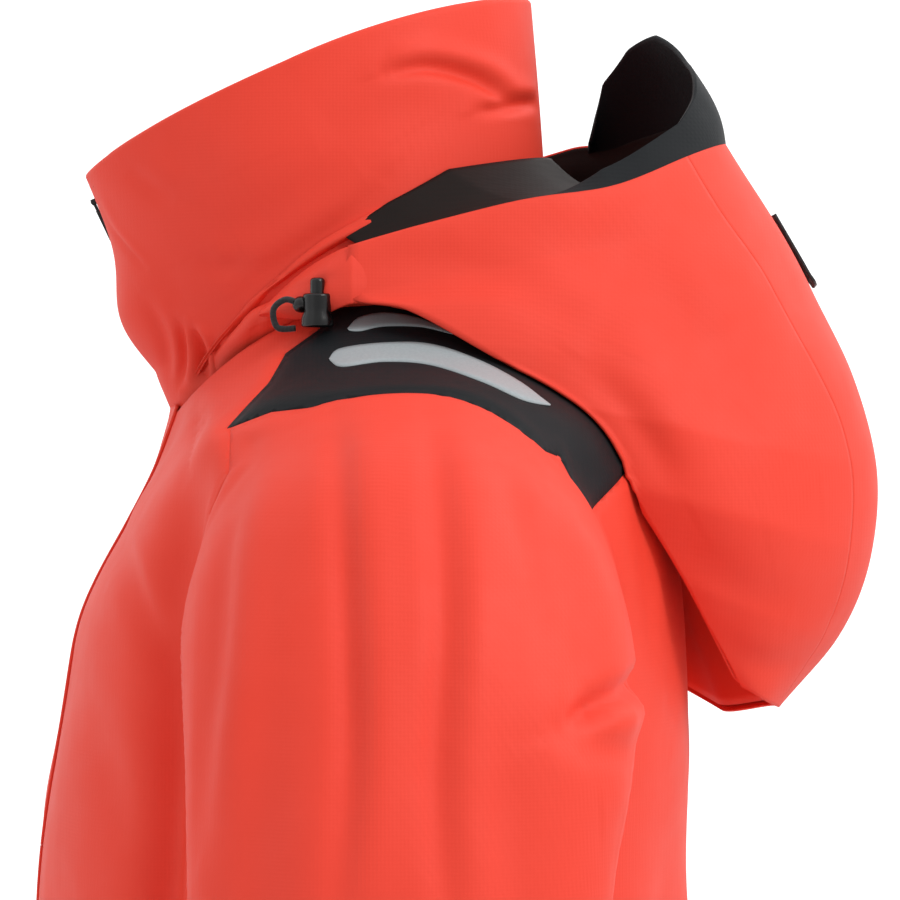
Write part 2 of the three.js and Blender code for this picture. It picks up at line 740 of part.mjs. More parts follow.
// The cloth between the neck seam and the foot of the hood.
const napeRail = rail([
  [104, 6],
  [131, -40],
  [157, -85],
  [174, -130],
  [184, -165],
  [196, -192],
]);
const nape = panel(
  (u, v) => {
    const point = napeRail(5 * (1 - v));
    const bow = (2 * u - 1) ** 2;
    return vec(lerp(78, -78, u), point.x - 9 * bow * v, point.y - 3 * bow * v);
  },
  6,
  8,
  SHELL,
);
add("hood_nape_panel", nape, CORAL);

// The volume tab lies down the back of the hood, hinged along its upper edge.
const VOLUME_TAB = [24, 44]; // width, length
const tabHead = hood(90, 0.15);
const tabFoot = hood(90, 0.33);
const tabLean = Math.atan2(tabFoot.y - tabHead.y, tabHead.z - tabFoot.z);
const volumeTab = block(-VOLUME_TAB[0] / 2, VOLUME_TAB[0] / 2, -1.2, 1.2, -VOLUME_TAB[1], 0);
volumeTab.rotateX(tabLean);
volumeTab.translate(0, tabHead.y + 4.4, tabHead.z + 2);
add("hood_volume_tab", volumeTab, BLACK);

// ---- hood cord and its locks, one beside each cheek --------------------------------------------
const LOCK = [127.5, -27, -17]; // middle of the foot of the barrel
const LOCK_R = 8.2;
const LOCK_HEIGHT = 17;
const BORE_R = 4.2;
const PLUNGER_R = 3.7;
const PLUNGER_TRAVEL = 5;
const turned = (profile, segments) =>
  new THREE.LatheGeometry(
    profile.map(([r, z]) => new THREE.Vector2(r, z)),
    segments,
  ).rotateX(Math.PI / 2);
const barrel = turned(
  [
    [0, 0],
    [LOCK_R - 2, 0],
    [LOCK_R, 3],
    [LOCK_R, LOCK_HEIGHT - 3],
    [LOCK_R - 2, LOCK_HEIGHT],
    [BORE_R, LOCK_HEIGHT],
    [BORE_R, 3],
    [0, 3],
  ],
  20,
);
const plunger = turned(
  [
    [0, 0],
    [PLUNGER_R, 0],
    [PLUNGER_R, 14],
    [PLUNGER_R - 1.6, 16],
    [0, 16.4],
  ],
  18,
);
plunger.translate(LOCK[0], LOCK[1], LOCK[2] + 3 + PLUNGER_TRAVEL + 0.6);
barrel.translate(...LOCK);
add("cordlock_left", welded(barrel), BLACK);
add("cordlock_right", mirrored(welded(barrel)), BLACK);
add("cordlock_plunger_left", welded(plunger), BLACK);
add("cordlock_plunger_right", mirrored(welded(plunger)), BLACK);

const CORD_R = 1.6;
const cordPath = new THREE.CatmullRomCurve3([
  vec(LOCK[0] - 1, LOCK[1] - LOCK_R - 1, LOCK[2] + 12),
  vec(LOCK[0] - 2, LOCK[1] - LOCK_R - 8, LOCK[2] + 14),
  vec(LOCK[0] - 4, LOCK[1] - LOCK_R - 14, LOCK[2] + 9),
  vec(LOCK[0] - 5, LOCK[1] - LOCK_R - 12, LOCK[2]),
  vec(LOCK[0] - 3, LOCK[1] - LOCK_R - 3, LOCK[2] - 0.5),
]);
const cordShape = new THREE.Shape();
cordShape.absarc(0, 0, CORD_R, 0, 2 * Math.PI);
const cord = new THREE.ExtrudeGeometry(cordShape, {
  steps: 12,
  curveSegments: 4,
  extrudePath: cordPath,
});
add("hood_drawcord_left", welded(cord), WEBBING);
add("hood_drawcord_right", mirrored(welded(cord)), WEBBING);

export default jacket;
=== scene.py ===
# %% [markdown]
# # Foul weather jacket
# A hooded offshore jacket, zipped to the top of its tall collar, with the hood hanging down the
# back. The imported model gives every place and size; this lesson makes the cloth and the trims
# around it. Lengths in the cloth functions are millimetres and become metres as a mesh is made.

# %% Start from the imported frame
import math
from contextlib import contextmanager

import bmesh
import bpy
import numpy as np
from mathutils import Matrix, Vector
from mathutils.bvhtree import BVHTree


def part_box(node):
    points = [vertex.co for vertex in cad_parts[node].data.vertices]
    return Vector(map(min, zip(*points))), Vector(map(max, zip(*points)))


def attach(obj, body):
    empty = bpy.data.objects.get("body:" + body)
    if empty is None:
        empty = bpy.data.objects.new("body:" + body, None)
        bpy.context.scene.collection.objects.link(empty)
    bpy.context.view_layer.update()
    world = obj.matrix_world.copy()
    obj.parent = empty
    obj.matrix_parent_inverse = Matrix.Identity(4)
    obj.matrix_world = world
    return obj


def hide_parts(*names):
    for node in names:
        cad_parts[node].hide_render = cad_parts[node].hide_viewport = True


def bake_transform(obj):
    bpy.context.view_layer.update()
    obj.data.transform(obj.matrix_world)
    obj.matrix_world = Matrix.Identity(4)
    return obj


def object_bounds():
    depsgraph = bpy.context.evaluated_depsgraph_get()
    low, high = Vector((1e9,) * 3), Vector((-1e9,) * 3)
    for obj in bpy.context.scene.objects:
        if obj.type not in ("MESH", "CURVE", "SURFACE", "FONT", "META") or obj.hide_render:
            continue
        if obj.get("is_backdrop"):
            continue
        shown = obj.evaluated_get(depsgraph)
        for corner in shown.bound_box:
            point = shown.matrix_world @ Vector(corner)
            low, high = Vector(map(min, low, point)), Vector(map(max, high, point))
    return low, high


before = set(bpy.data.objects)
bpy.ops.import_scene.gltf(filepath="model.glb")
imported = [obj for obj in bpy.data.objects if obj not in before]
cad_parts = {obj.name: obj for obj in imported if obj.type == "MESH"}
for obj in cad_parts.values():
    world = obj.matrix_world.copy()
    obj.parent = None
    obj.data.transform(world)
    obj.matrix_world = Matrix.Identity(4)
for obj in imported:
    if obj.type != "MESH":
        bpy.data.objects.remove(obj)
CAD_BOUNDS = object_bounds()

print("CAD box", [[round(v, 4) for v in corner] for corner in CAD_BOUNDS])

# %% [markdown]
# ## Camera and light
# The jacket is seen from the wearer's left, level with the shoulder, from far away with a long
# lens. Two large soft lamps and a white room give the even light of a studio.

# %% Camera, lamps and room
VIEW_CENTRE = Vector((0.0, 0.042, -0.0795))
VIEW_DISTANCE = 2.6
VIEW_AZIMUTH = math.radians(89.0)
VIEW_ELEVATION = math.radians(0.3)
FRAME_WIDTH = 0.477
SENSOR = 36.0


def aim(thing, place, target):
    thing.location = place
    thing.rotation_euler = (target - place).to_track_quat("-Z", "Y").to_euler()


def round_centre(azimuth, elevation, distance):
    flat = math.cos(elevation)
    return VIEW_CENTRE + distance * Vector(
        (math.sin(azimuth) * flat, -math.cos(azimuth) * flat, math.sin(elevation))
    )


camera = bpy.data.objects.new("camera", bpy.data.cameras.new("camera"))
bpy.context.collection.objects.link(camera)
camera.data.sensor_width = SENSOR
camera.data.lens = SENSOR * VIEW_DISTANCE / FRAME_WIDTH
camera.data.clip_end = 50.0
aim(camera, round_centre(VIEW_AZIMUTH, VIEW_ELEVATION, VIEW_DISTANCE), VIEW_CENTRE)
bpy.context.scene.camera = camera


LAMPS = [
    # name, azimuth and elevation in degrees, distance and size in metres, watts, colour
    ("key", 138, 36, 2.6, 1.0, 30, (1.0, 0.98, 0.95)),
    ("fill", 50, 12, 3.0, 1.6, 1.5, (1.0, 1.0, 1.0)),
    ("rim", 215, 35, 2.6, 1.2, 6, (1.0, 1.0, 1.0)),
]
for name, azimuth, elevation, distance, size, watts, hue in LAMPS:
    lamp = bpy.data.lights.new(name, "AREA")
    lamp.size, lamp.energy, lamp.color = size, watts, hue
    thing = bpy.data.objects.new(name, lamp)
    bpy.context.collection.objects.link(thing)
    aim(thing, round_centre(math.radians(azimuth), math.radians(elevation), distance), VIEW_CENTRE)


def add_node(tree, kind, links=(), **settings):
    """Adds a node; settings name its sockets or properties, links are (socket, source) pairs."""
    node = tree.nodes.new(kind)
    for key, value in settings.items():
        socket = node.inputs.get(key.replace("_", " "))
        if socket is None:
            setattr(node, key, value)
        else:
            socket.default_value = value
    for key, source in links:
        tree.links.new(source, node.inputs[key])
    return node


# The room is brighter overhead than below, and brighter on the wearer's right than on the left.
WORLD_BELOW, WORLD_ABOVE, WORLD_SIDEWAYS = 0.7, 1.16, -0.4
world = bpy.data.worlds.new("room")
bpy.context.scene.world = world
world.use_nodes = True
room = world.node_tree
background = room.nodes["Background"]
background.inputs["Color"].default_value = (1.0, 1.0, 1.0, 1.0)
direction = add_node(room, "ShaderNodeTexCoord")
parts = add_node(room, "ShaderNodeSeparateXYZ", [("Vector", direction.outputs["Generated"])])
overhead = add_node(
    room,
    "ShaderNodeMapRange",
    [("Value", parts.outputs["Z"])],
    From_Min=-1.0,
    To_Min=WORLD_BELOW,
    To_Max=WORLD_ABOVE,
)
sideways = add_node(
    room,
    "ShaderNodeMath",
    [(0, parts.outputs["X"]), (2, overhead.outputs["Result"])],
    operation="MULTIPLY_ADD",
)
sideways.inputs[1].default_value = WORLD_SIDEWAYS
room.links.new(sideways.outputs["Value"], background.inputs["Strength"])
bpy.context.scene.view_settings.view_transform = "Standard"

FLOOR_HALF, FLOOR_DROP = 6.0, 0.25
floor_mesh = bpy.data.meshes.new("floor")
floor_mesh.from_pydata(
    [(FLOOR_HALF * a, FLOOR_HALF * b, 0) for a, b in ((-1, -1), (1, -1), (1, 1), (-1, 1))],
    [],
    [(0, 1, 2, 3)],
)
floor = bpy.data.objects.new("floor", floor_mesh)
floor.location.z = CAD_BOUNDS[0][2] - FLOOR_DROP
bpy.context.collection.objects.link(floor)
floor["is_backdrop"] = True
print("camera lens", round(camera.data.lens, 1), "mm, floor at", round(floor.location.z, 3))

# %% [markdown]
# ## Small tools
# A few helpers: a mesh from a grid of points, edges smoothed, modifiers applied, and the
# bookkeeping that puts each piece on the body it rides on and hides the imported nodes it stands
# for.

# %% Mesh helpers
MM = 0.001
SIDES = ((1, "left"), (-1, "right"))


def deselect():
    for thing in bpy.context.selected_objects:
        thing.select_set(False)


def make_mesh(name, points_mm, faces):
    mesh = bpy.data.meshes.new(name)
    mesh.from_pydata((np.asarray(points_mm, float) * MM).tolist(), [], [list(f) for f in faces])
    mesh.update()
    thing = bpy.data.objects.new(name, mesh)
    bpy.context.collection.objects.link(thing)
    return thing


def apply_modifier(thing, kind, **settings):
    modifier = thing.modifiers.new(kind.lower(), kind)
    for key, value in settings.items():
        setattr(modifier, key, value)
    deselect()
    thing.select_set(True)
    bpy.context.view_layer.objects.active = thing
    bpy.ops.object.modifier_apply(modifier=modifier.name)


def join_into(thing, *others):
    deselect()
    for part in (thing, *others):
        part.select_set(True)
    bpy.context.view_layer.objects.active = thing
    bpy.ops.object.join()
    return thing


@contextmanager
def mesh_edit(thing):
    """The thing's mesh opened for editing and written back at the end."""
    bm = bmesh.new()
    bm.from_mesh(thing.data)
    bm.verts.ensure_lookup_table()
    bm.edges.ensure_lookup_table()
    yield bm
    bm.to_mesh(thing.data)
    bm.free()


def turn_outward(thing):
    with mesh_edit(thing) as bm:
        bmesh.ops.recalc_face_normals(bm, faces=bm.faces)


def points_of(thing):
    values = np.empty(len(thing.data.vertices) * 3)
    thing.data.vertices.foreach_get("co", values)
    return values.reshape(-1, 3) / MM


def normals_of(thing):
    values = np.empty(len(thing.data.vertices) * 3)
    thing.data.vertex_normals.foreach_get("vector", values)
    return values.reshape(-1, 3)


def set_points(thing, points_mm):
    thing.data.vertices.foreach_set("co", (np.asarray(points_mm) * MM).ravel())
    thing.data.update()


def finish_piece(thing, body, material, nodes=()):
    """Gives a piece its finish, parents it to the body it rides on and hides the imported nodes it
    stands for.
    """
    thing.data.shade_smooth()
    thing.data.materials.clear()
    thing.data.materials.append(material)
    if nodes:
        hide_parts(*nodes)
    if body:
        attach(thing, body)
    print(thing.name, len(thing.data.polygons), "faces")
    return thing


def quads(nu, nv, closed=False):
    """The faces of a grid nu across and nv down; a closed one meets itself sideways."""
    columns = nu if closed else nu + 1
    faces = []
    for j in range(nv):
        for i in range(nu):
            a, b = j * columns + i, j * columns + (i + 1) % columns
            faces.append((a, b, b + columns, a + columns))
    return faces


def grid(name, surface, nu, nv, closed=False):
    """A sheet of quads over surface(u, v), which takes arrays and returns rows of x, y, z."""
    u, v = np.meshgrid(np.arange(nu if closed else nu + 1) / nu, np.arange(nv + 1) / nv)
    return make_mesh(name, surface(u.ravel(), v.ravel()), quads(nu, nv, closed))


def patch(name, spot, nu, nv):
    """A sheet of quads over spot(u, v), asked for one point at a time."""
    points = [spot(i / nu, j / nv) for j in range(nv + 1) for i in range(nu + 1)]
    return make_mesh(name, points, quads(nu, nv))


# %% Curves and rails
def rail(pairs):
    """A smooth line through rows of numbers, read by the number of the row."""
    rows = np.asarray(pairs, float)

    def read(t):
        t = np.clip(np.asarray(t, float), 0, len(rows) - 1)
        k = np.clip(np.floor(t).astype(int), 0, len(rows) - 2)
        f = (t - k)[..., None]
        before = rows[np.clip(k - 1, 0, None)]
        a, b = rows[k], rows[k + 1]
        after = rows[np.clip(k + 2, None, len(rows) - 1)]
        m0, m1 = (b - before) / 2, (after - a) / 2
        return (
            (2 * f**3 - 3 * f**2 + 1) * a
            + (f**3 - 2 * f**2 + f) * m0
            + (3 * f**2 - 2 * f**3) * b
            + (f**3 - f**2) * m1
        )

    return read


def power(value, exponent):
    return np.sign(value) * np.abs(value) ** exponent


def mix(a, b, f):
    return a + (b - a) * f


def ease(value, low, high):
    """0 below low, 1 above high and smooth between them."""
    f = np.clip((value - low) / (high - low), 0, 1)
    return f * f * (3 - 2 * f)


def sin_cos(degrees):
    return np.sin(np.radians(degrees)), np.cos(np.radians(degrees))


def pushed_out(points, theta, out):
    """Points moved level by a distance, in the direction theta."""
    s, c = sin_cos(theta)
    return points + np.stack([c * out, s * out, 0 * s], -1)


def fold(a, b, line, width, depth, ridge=0.5):
    """How far cloth moves out (or in, below 0) beside a crease drawn as a line in a plane."""
    shift = np.zeros_like(a)
    way = rail(line)(np.linspace(0, len(line) - 1, 4 * len(line)))
    low, high = way.min(0) - 5 * width, way.max(0) + 5 * width
    near = np.flatnonzero((a > low[0]) & (a < high[0]) & (b > low[1]) & (b < high[1]))
    if not len(near):
        return shift
    spot = np.stack([a[near], b[near]], 1)
    best = np.full(len(near), 1e9)
    side, place = np.zeros(len(near)), np.zeros(len(near))
    steps = np.linalg.norm(np.diff(way, axis=0), axis=1)
    run = np.concatenate([[0], np.cumsum(steps)])
    for k, length in enumerate(steps):
        along = (way[k + 1] - way[k]) / length
        from_start = spot - way[k]
        f = np.clip(from_start @ along, 0, length)
        off = from_start - f[:, None] * along
        distance = np.linalg.norm(off, axis=1)
        closer = distance < best
        best = np.where(closer, distance, best)
        turn = along[0] * from_start[:, 1] - along[1] * from_start[:, 0]
        side = np.where(closer, np.sign(turn), side)
        place = np.where(closer, (run[k] + f) / run[-1], place)
    offset = best * side
    taper = np.sqrt(np.sin(np.pi * np.clip(place, 0.02, 0.98)))
    valley = np.exp(-((offset / width) ** 2))
    swell = np.exp(-(((offset - 2.0 * width) / (1.5 * width)) ** 2))
    shift[near] = depth * taper * (ridge * swell - valley)
    return shift


def creasing(points, creases, drift=0):
    """How far a list of creases, drawn in y and z, moves each point; drift lowers them."""
    return sum(fold(points[:, 1], points[:, 2] + drift, *crease) for crease in creases)


def waves(points, strength):
    """Slow, low unevenness that any hanging cloth has."""
    x, y, z = points.T
    return strength * (
        np.sin(0.031 * y + 0.043 * z + 0.6)
        + 0.8 * np.sin(0.052 * x - 0.027 * z + 2.1)
        + 0.6 * np.sin(0.071 * y - 0.036 * z + 0.017 * x)
    )


print("tools ready")

# %% [markdown]
# ## The cord at each cheek
# A thin round cord leaves the front of each cord lock, makes one short loop and goes back in
# underneath. It is a round tube built as a mesh along its path, and comes first
# because its length is fixed by what the hood needs.

# %% Drawcords
LOCK = np.array([127.5, -27.0, -17.0])
LOCK_R = 8.2
LOCK_HEIGHT = 17.0
CORD_DIAMETER = 3.2


def cord_path(side):
    stops = LOCK + np.array(
        [
            [-1, -LOCK_R - 1, 12],
            [-2, -LOCK_R - 8, 14],
            [-4, -LOCK_R - 14, 9],
            [-5, -LOCK_R - 12, 0],
            [-3, -LOCK_R - 3, -0.5],
        ]
    )
    path = rail(stops)(np.linspace(0, 4, 49))
    return path * [side, 1, 1]


def tube(name, path, radius, around=12):
    """A round tube along a path, closed at both ends."""
    points = []
    ahead = np.gradient(path, axis=0)
    ahead /= np.linalg.norm(ahead, axis=1)[:, None]
    aside = np.cross(ahead, [1, 0, 0])
    aside /= np.linalg.norm(aside, axis=1)[:, None]
    upward = np.cross(ahead, aside)
    for k, centre in enumerate(path):
        for j in range(around):
            turn = 2 * math.pi * j / around
            points.append(
                centre + radius * (math.cos(turn) * aside[k] + math.sin(turn) * upward[k])
            )
    faces = quads(around, len(path) - 1, closed=True)
    last = (len(path) - 1) * around
    faces.append(tuple(reversed(range(around))))
    faces.append(tuple(range(last, last + around)))
    return make_mesh(name, points, faces)


drawcords = {}
for side, name in SIDES:
    path = cord_path(side)
    piece = tube("drawcord_" + name, path, CORD_DIAMETER / 2)
    long = float(np.linalg.norm(np.diff(path, axis=0), axis=1).sum())
    drawcords[name] = piece
    [tuple(p) for p in path * MM]
    print(piece.name, round(long, 1), "mm long")

# %% [markdown]
# ## Materials
# Each finish is named for what it is. Colours are ordinary hex values that one function turns
# into the linear numbers Blender uses.

# %% Material helpers
def hex_colour(code):
    parts = [int(code[k : k + 2], 16) / 255 for k in (1, 3, 5)]
    linear = [p / 12.92 if p <= 0.04045 else ((p + 0.055) / 1.055) ** 2.4 for p in parts]
    return (*linear, 1.0)


def new_material(name, colour, roughness, **shader):
    material = bpy.data.materials.new(name)
    material.use_nodes = True
    tree = material.node_tree
    bsdf = tree.nodes["Principled BSDF"]
    bsdf.inputs["Base Color"].default_value = hex_colour(colour)
    bsdf.inputs["Roughness"].default_value = roughness
    for key, value in shader.items():
        bsdf.inputs[key.replace("_", " ")].default_value = value
    place = add_node(tree, "ShaderNodeTexCoord")
    return material, tree, bsdf, place.outputs["Object"]


def vary_colour(tree, bsdf, place, dark, light, scale):
    """Base colour drifts slowly between two near colours, as dyed cloth does."""
    noise = add_node(tree, "ShaderNodeTexNoise", [("Vector", place)], Scale=scale, Detail=3.0)
    ramp = add_node(tree, "ShaderNodeValToRGB", [("Fac", noise.outputs["Fac"])])
    for stop, position, colour in zip(ramp.color_ramp.elements, (0.3, 0.7), (dark, light)):
        stop.position = position
        stop.color = hex_colour(colour)
    tree.links.new(ramp.outputs["Color"], bsdf.inputs["Base Color"])


def vary_roughness(tree, bsdf, place, low, high, scale):
    noise = add_node(tree, "ShaderNodeTexNoise", [("Vector", place)], Scale=scale, Detail=4.0)
    spread = add_node(
        tree, "ShaderNodeMapRange", [("Value", noise.outputs["Fac"])], To_Min=low, To_Max=high
    )
    tree.links.new(spread.outputs["Result"], bsdf.inputs["Roughness"])


def weave_height(tree, place, thread_mm):
    """Two crossing sets of threads, each thread_mm wide, as a height between 0 and 1."""
    heights = []
    for axis in ("X", "Y", "Z"):
        wave = add_node(
            tree,
            "ShaderNodeTexWave",
            [("Vector", place)],
            wave_type="BANDS",
            bands_direction=axis,
            Scale=1000.0 / (thread_mm * 20.0) * math.pi,
            Distortion=0.4,
            Detail=1.0,
        )
        heights.append(wave.outputs["Fac"])
    both = add_node(tree, "ShaderNodeMath", enumerate(heights[:2]), operation="ADD")
    total = add_node(
        tree, "ShaderNodeMath", [(0, both.outputs[0]), (1, heights[2])], operation="ADD"
    )
    return total.outputs[0]


def bumped(tree, bsdf, height, strength, distance_mm):
    bump = add_node(
        tree, "ShaderNodeBump", [("Height", height)], Strength=strength, Distance=distance_mm * MM
    )
    tree.links.new(bump.outputs["Normal"], bsdf.inputs["Normal"])


# %% The cloths
def coated_nylon(name, colour, dark, light, thread_mm, gloss):
    """Tightly woven nylon with a water-shedding face: matt, even, with a faint fine weave."""
    material, tree, bsdf, place = new_material(name, colour, 0.6, Specular_IOR_Level=gloss)
    vary_colour(tree, bsdf, place, dark, light, 9.0)
    bumped(tree, bsdf, weave_height(tree, place, thread_mm), 0.16, 0.12)
    vary_roughness(tree, bsdf, place, 0.56, 0.7, 60.0)
    return material


CORAL = coated_nylon("coated_nylon_coral", "#e33c28", "#e03924", "#e63f2c", 0.9, 0.36)
CHARCOAL = coated_nylon("coated_nylon_charcoal", "#14171a", "#121518", "#171a1d", 1.1, 0.16)
LINING = coated_nylon("brushed_lining_dark", "#17110f", "#140f0d", "#1a1412", 1.4, 0.18)
FLEECE, fleece_tree, fleece_bsdf, fleece_place = new_material(
    "napped_fleece", "#24211f", 0.95, Sheen_Weight=0.4, Sheen_Roughness=0.6
)
vary_colour(fleece_tree, fleece_bsdf, fleece_place, "#1d1b19", "#2b2826", 220.0)
nap = add_node(
    fleece_tree, "ShaderNodeTexNoise", [("Vector", fleece_place)], Scale=700.0, Detail=5.0
)
bumped(fleece_tree, fleece_bsdf, nap.outputs["Fac"], 0.6, 0.8)
print("cloth materials ready")

# %% Silver tape, plastics, webbing and rubber
SILVER, silver_tree, silver_bsdf, silver_place = new_material(
    "glass_bead_tape", "#9aa2a6", 0.5, Specular_IOR_Level=0.3
)
beads = add_node(silver_tree, "ShaderNodeTexVoronoi", [("Vector", silver_place)], Scale=900.0)
bumped(silver_tree, silver_bsdf, beads.outputs["Distance"], 0.25, 0.1)
vary_colour(silver_tree, silver_bsdf, silver_place, "#969ea2", "#9fa7aa", 700.0)


def moulded_plastic(name, colour, roughness, grain):
    """Injection moulded plastic: smooth, with a fine spark-eroded grain."""
    material, tree, bsdf, place = new_material(name, colour, roughness)
    noise = add_node(tree, "ShaderNodeTexNoise", [("Vector", place)], Scale=1500.0, Detail=3.0)
    bumped(tree, bsdf, noise.outputs["Fac"], grain, 0.05)
    vary_roughness(tree, bsdf, place, roughness - 0.05, roughness + 0.12, 240.0)
    return material


GLOSS_BLACK = moulded_plastic("moulded_acetal_gloss", "#060607", 0.2, 0.05)
ZIP_BLACK = moulded_plastic("moulded_zip_plastic", "#141416", 0.42, 0.2)
RUBBER = moulded_plastic("moulded_soft_rubber", "#1b1c1e", 0.6, 0.4)


def ribbed_webbing(name, colour, rib_mm):
    """Narrow woven tape or cord sheath with a rib across it."""
    material, tree, bsdf, place = new_material(name, colour, 0.8, Sheen_Weight=0.2)
    bumped(tree, bsdf, weave_height(tree, place, rib_mm), 0.5, 0.25)
    vary_colour(tree, bsdf, place, "#131416", "#1f2124", 300.0)
    return material


WEBBING = ribbed_webbing("woven_webbing_black", "#17181a", 1.6)
CORD_SHEATH = ribbed_webbing("braided_cord_black", "#141517", 1.0)

print("trim materials ready")

# %% [markdown]
# ## The body and sleeves as one soft form
# A jacket's cloth runs smoothly from shoulder to sleeve, so the body and both sleeves are first
# lofted as plain closed volumes, joined by a voxel remesh, and smoothed where they meet. The
# creases go in next, and only then is the form cut along its seams into panels.

# %% Rails of the body and the sleeve
FRONT_RAIL = rail(
    [(-101, -53), (-115, -93), (-132, -127), (-148, -162), (-156, -190), (-172, -280)]
    + [(-176, -400), (-175, -560), (-169, -740)]
)
SIDE_RAIL = rail(
    [(98, -5), (165, -33), (222, -55), (225, -110), (225, -165), (225, -270)]
    + [(224, -400), (223, -560), (222, -740)]
)
BACK_RAIL = rail(
    [(95, 10), (120, -40), (145, -85), (160, -135), (165, -180), (167, -280)]
    + [(168, -400), (170, -560), (165, -740)]
)
SQUARENESS = [2, 2.2, 2.4, 2.6, 2.6, 2.5, 2.5, 2.5, 2.5]
COLLAR_HALF = 102.0
COLLAR_FRONT_TOP = (-151.0, 64.0)
COLLAR_BACK_TOP = (85.0, 156.0)
COLLAR_CROWN = 12.0


def body(theta, t):
    """The body's surface: theta 0 is the wearer's left and 90 the spine; t runs down 9 rings."""
    side, front, back = SIDE_RAIL(t), FRONT_RAIL(t), BACK_RAIL(t)
    n = np.interp(t, range(9), SQUARENESS)
    s, c = sin_cos(theta)
    end = np.where((s < 0)[..., None], front, back)
    middle, half = (front[..., 0] + back[..., 0]) / 2, (back[..., 0] - front[..., 0]) / 2
    x = side[..., 0] * power(c, 2 / n)
    y = middle + half * power(s, 2 / n)
    return np.stack([x, y, mix(side[..., 1], end[..., 1], s * s)], -1)


def collar_rim(theta):
    s, c = sin_cos(theta)
    (front_y, front_z), (back_y, back_z) = COLLAR_FRONT_TOP, COLLAR_BACK_TOP
    y = (front_y + back_y) / 2 + (back_y - front_y) / 2 * s
    z = (front_z + back_z) / 2 + (back_z - front_z) / 2 * s + COLLAR_CROWN * c * c
    return np.stack([COLLAR_HALF * c, y, z], -1)


def collar(theta, height):
    """0 is the neck seam and 1 the collar's top edge."""
    return mix(body(theta, 0 * theta), collar_rim(theta), np.asarray(height)[..., None])


TOP_RAIL = rail(
    [(230, -54.7), (287, -85), (340, -160), (367, -250), (382, -341), (393, -436)]
    + [(402, -540), (416, -640)]
)
UNDER_RAIL = rail(
    [(230, -275.3), (236, -285), (243, -305), (252, -338), (263, -383), (277, -450)]
    + [(295, -540), (312, -640)]
)
SLEEVE_MIDDLE = [16, 18, 18, 13, 11, 10, 9, 8]
SLEEVE_HALF_DEPTH = [109, 108, 106, 100, 95, 88, 77, 66]


def sleeve(phi, t):
    """The left sleeve: phi 0 is its outer line and 90 its rear; t runs down 8 rings."""
    r = np.clip(t, 0, 7)
    top, under = TOP_RAIL(r), UNDER_RAIL(r)
    s, c = sin_cos(phi)
    x = mix(under[..., 0], top[..., 0], (1 + c) / 2) + 28 * np.minimum(t, 0)
    z = mix(under[..., 1], top[..., 1], (1 + c) / 2) - 30 * np.maximum(t - 7, 0)
    y = np.interp(r, range(8), SLEEVE_MIDDLE) + np.interp(r, range(8), SLEEVE_HALF_DEPTH) * s
    return np.stack([x, y, z], -1)


print("rails from the neck seam to the hem at", FRONT_RAIL(8.0), "and the wrist", TOP_RAIL(7.0))


# %% Loft, join and smooth
def body_loft(u, v):
    t = mix(-0.35, 8.35, v)
    points = body(360 * u, np.clip(t, 0, 8))
    up = collar(360 * u, np.clip(-t, 0, 1))
    points = np.where((t < 0)[:, None], up, points)
    points[:, 2] -= 60 * np.maximum(t - 8, 0)
    return points


def close_ends(thing, columns):
    """Fills the first and the last row of a closed grid."""
    with mesh_edit(thing) as bm:
        verts = list(bm.verts)
        bm.faces.new(verts[:columns][::-1])
        bm.faces.new(verts[-columns:])
        bmesh.ops.recalc_face_normals(bm, faces=bm.faces)


garment = grid("garment", body_loft, 120, 90, closed=True)
close_ends(garment, 120)
sleeves = []
for side, _ in SIDES:
    part = grid(
        "sleeve_form",
        lambda u, v: sleeve(360 * u, mix(-2.2, 7.8, v)) * [side, 1, 1],
        72,
        70,
        closed=True,
    )
    close_ends(part, 72)
    sleeves.append(part)

join_into(garment, *sleeves)
apply_modifier(garment, "REMESH", mode="VOXEL", voxel_size=0.007, use_smooth_shade=True)
apply_modifier(garment, "SMOOTH", factor=0.5, iterations=8)
print("joined form", len(garment.data.polygons), "faces")

# %% Ease the armholes
SIDE_SEAM_Y = 12
ARMHOLE_Z = -165
points = points_of(garment)
reach = np.hypot(points[:, 1] - SIDE_SEAM_Y, points[:, 2] - ARMHOLE_Z)
across = np.abs(points[:, 0])
near_armhole = np.exp(-(((across - 218) / 26) ** 2)) * (reach < 135)
group = garment.vertex_groups.new(name="armhole")
for index in np.flatnonzero(near_armhole > 0.05):
    group.add([int(index)], float(near_armhole[index]), "REPLACE")
apply_modifier(garment, "SMOOTH", factor=0.5, iterations=26, vertex_group="armhole")
garment.vertex_groups.clear()
apply_modifier(garment, "SUBSURF", levels=1, render_levels=1)
print("eased form", len(garment.data.polygons), "faces")

# %% [markdown]
# ## Creases
# Cloth that hangs from the shoulder falls in long soft folds, and gathers where the arm bends
# and where the chest meets the sleeve. Each crease is a line drawn on the side of the jacket,
# with a width and a depth; the cloth sinks along it and swells a little beside it.

# %% Where the seams run
YOKE_LOW = [(-400, -68), (-70, -68), (-49, -60), (-13, -56), (-1, -53.5), (14, -56)]
YOKE_LOW += [(29, -55.5), (53, -60), (72, -74), (92, -82), (97, -92), (103, -112)]
YOKE_LOW += [(122, -95), (145, -72)]
YOKE_FRONT = [(-68, -71), (-55, -60), (-45, -51), (-30, -43), (-17.6, -26), (-4, -20)]
SLEEVE_SEAM = [(230, -165), (262, -185), (292, -232), (310, -294), (323, -362)]
SLEEVE_SEAM += [(335, -443), (349, -540), (364, -640), (366, -670)]


def yoke_low(y):
    return np.interp(y, *zip(*YOKE_LOW))


def yoke_front(z):
    return np.interp(z, *zip(*YOKE_FRONT))


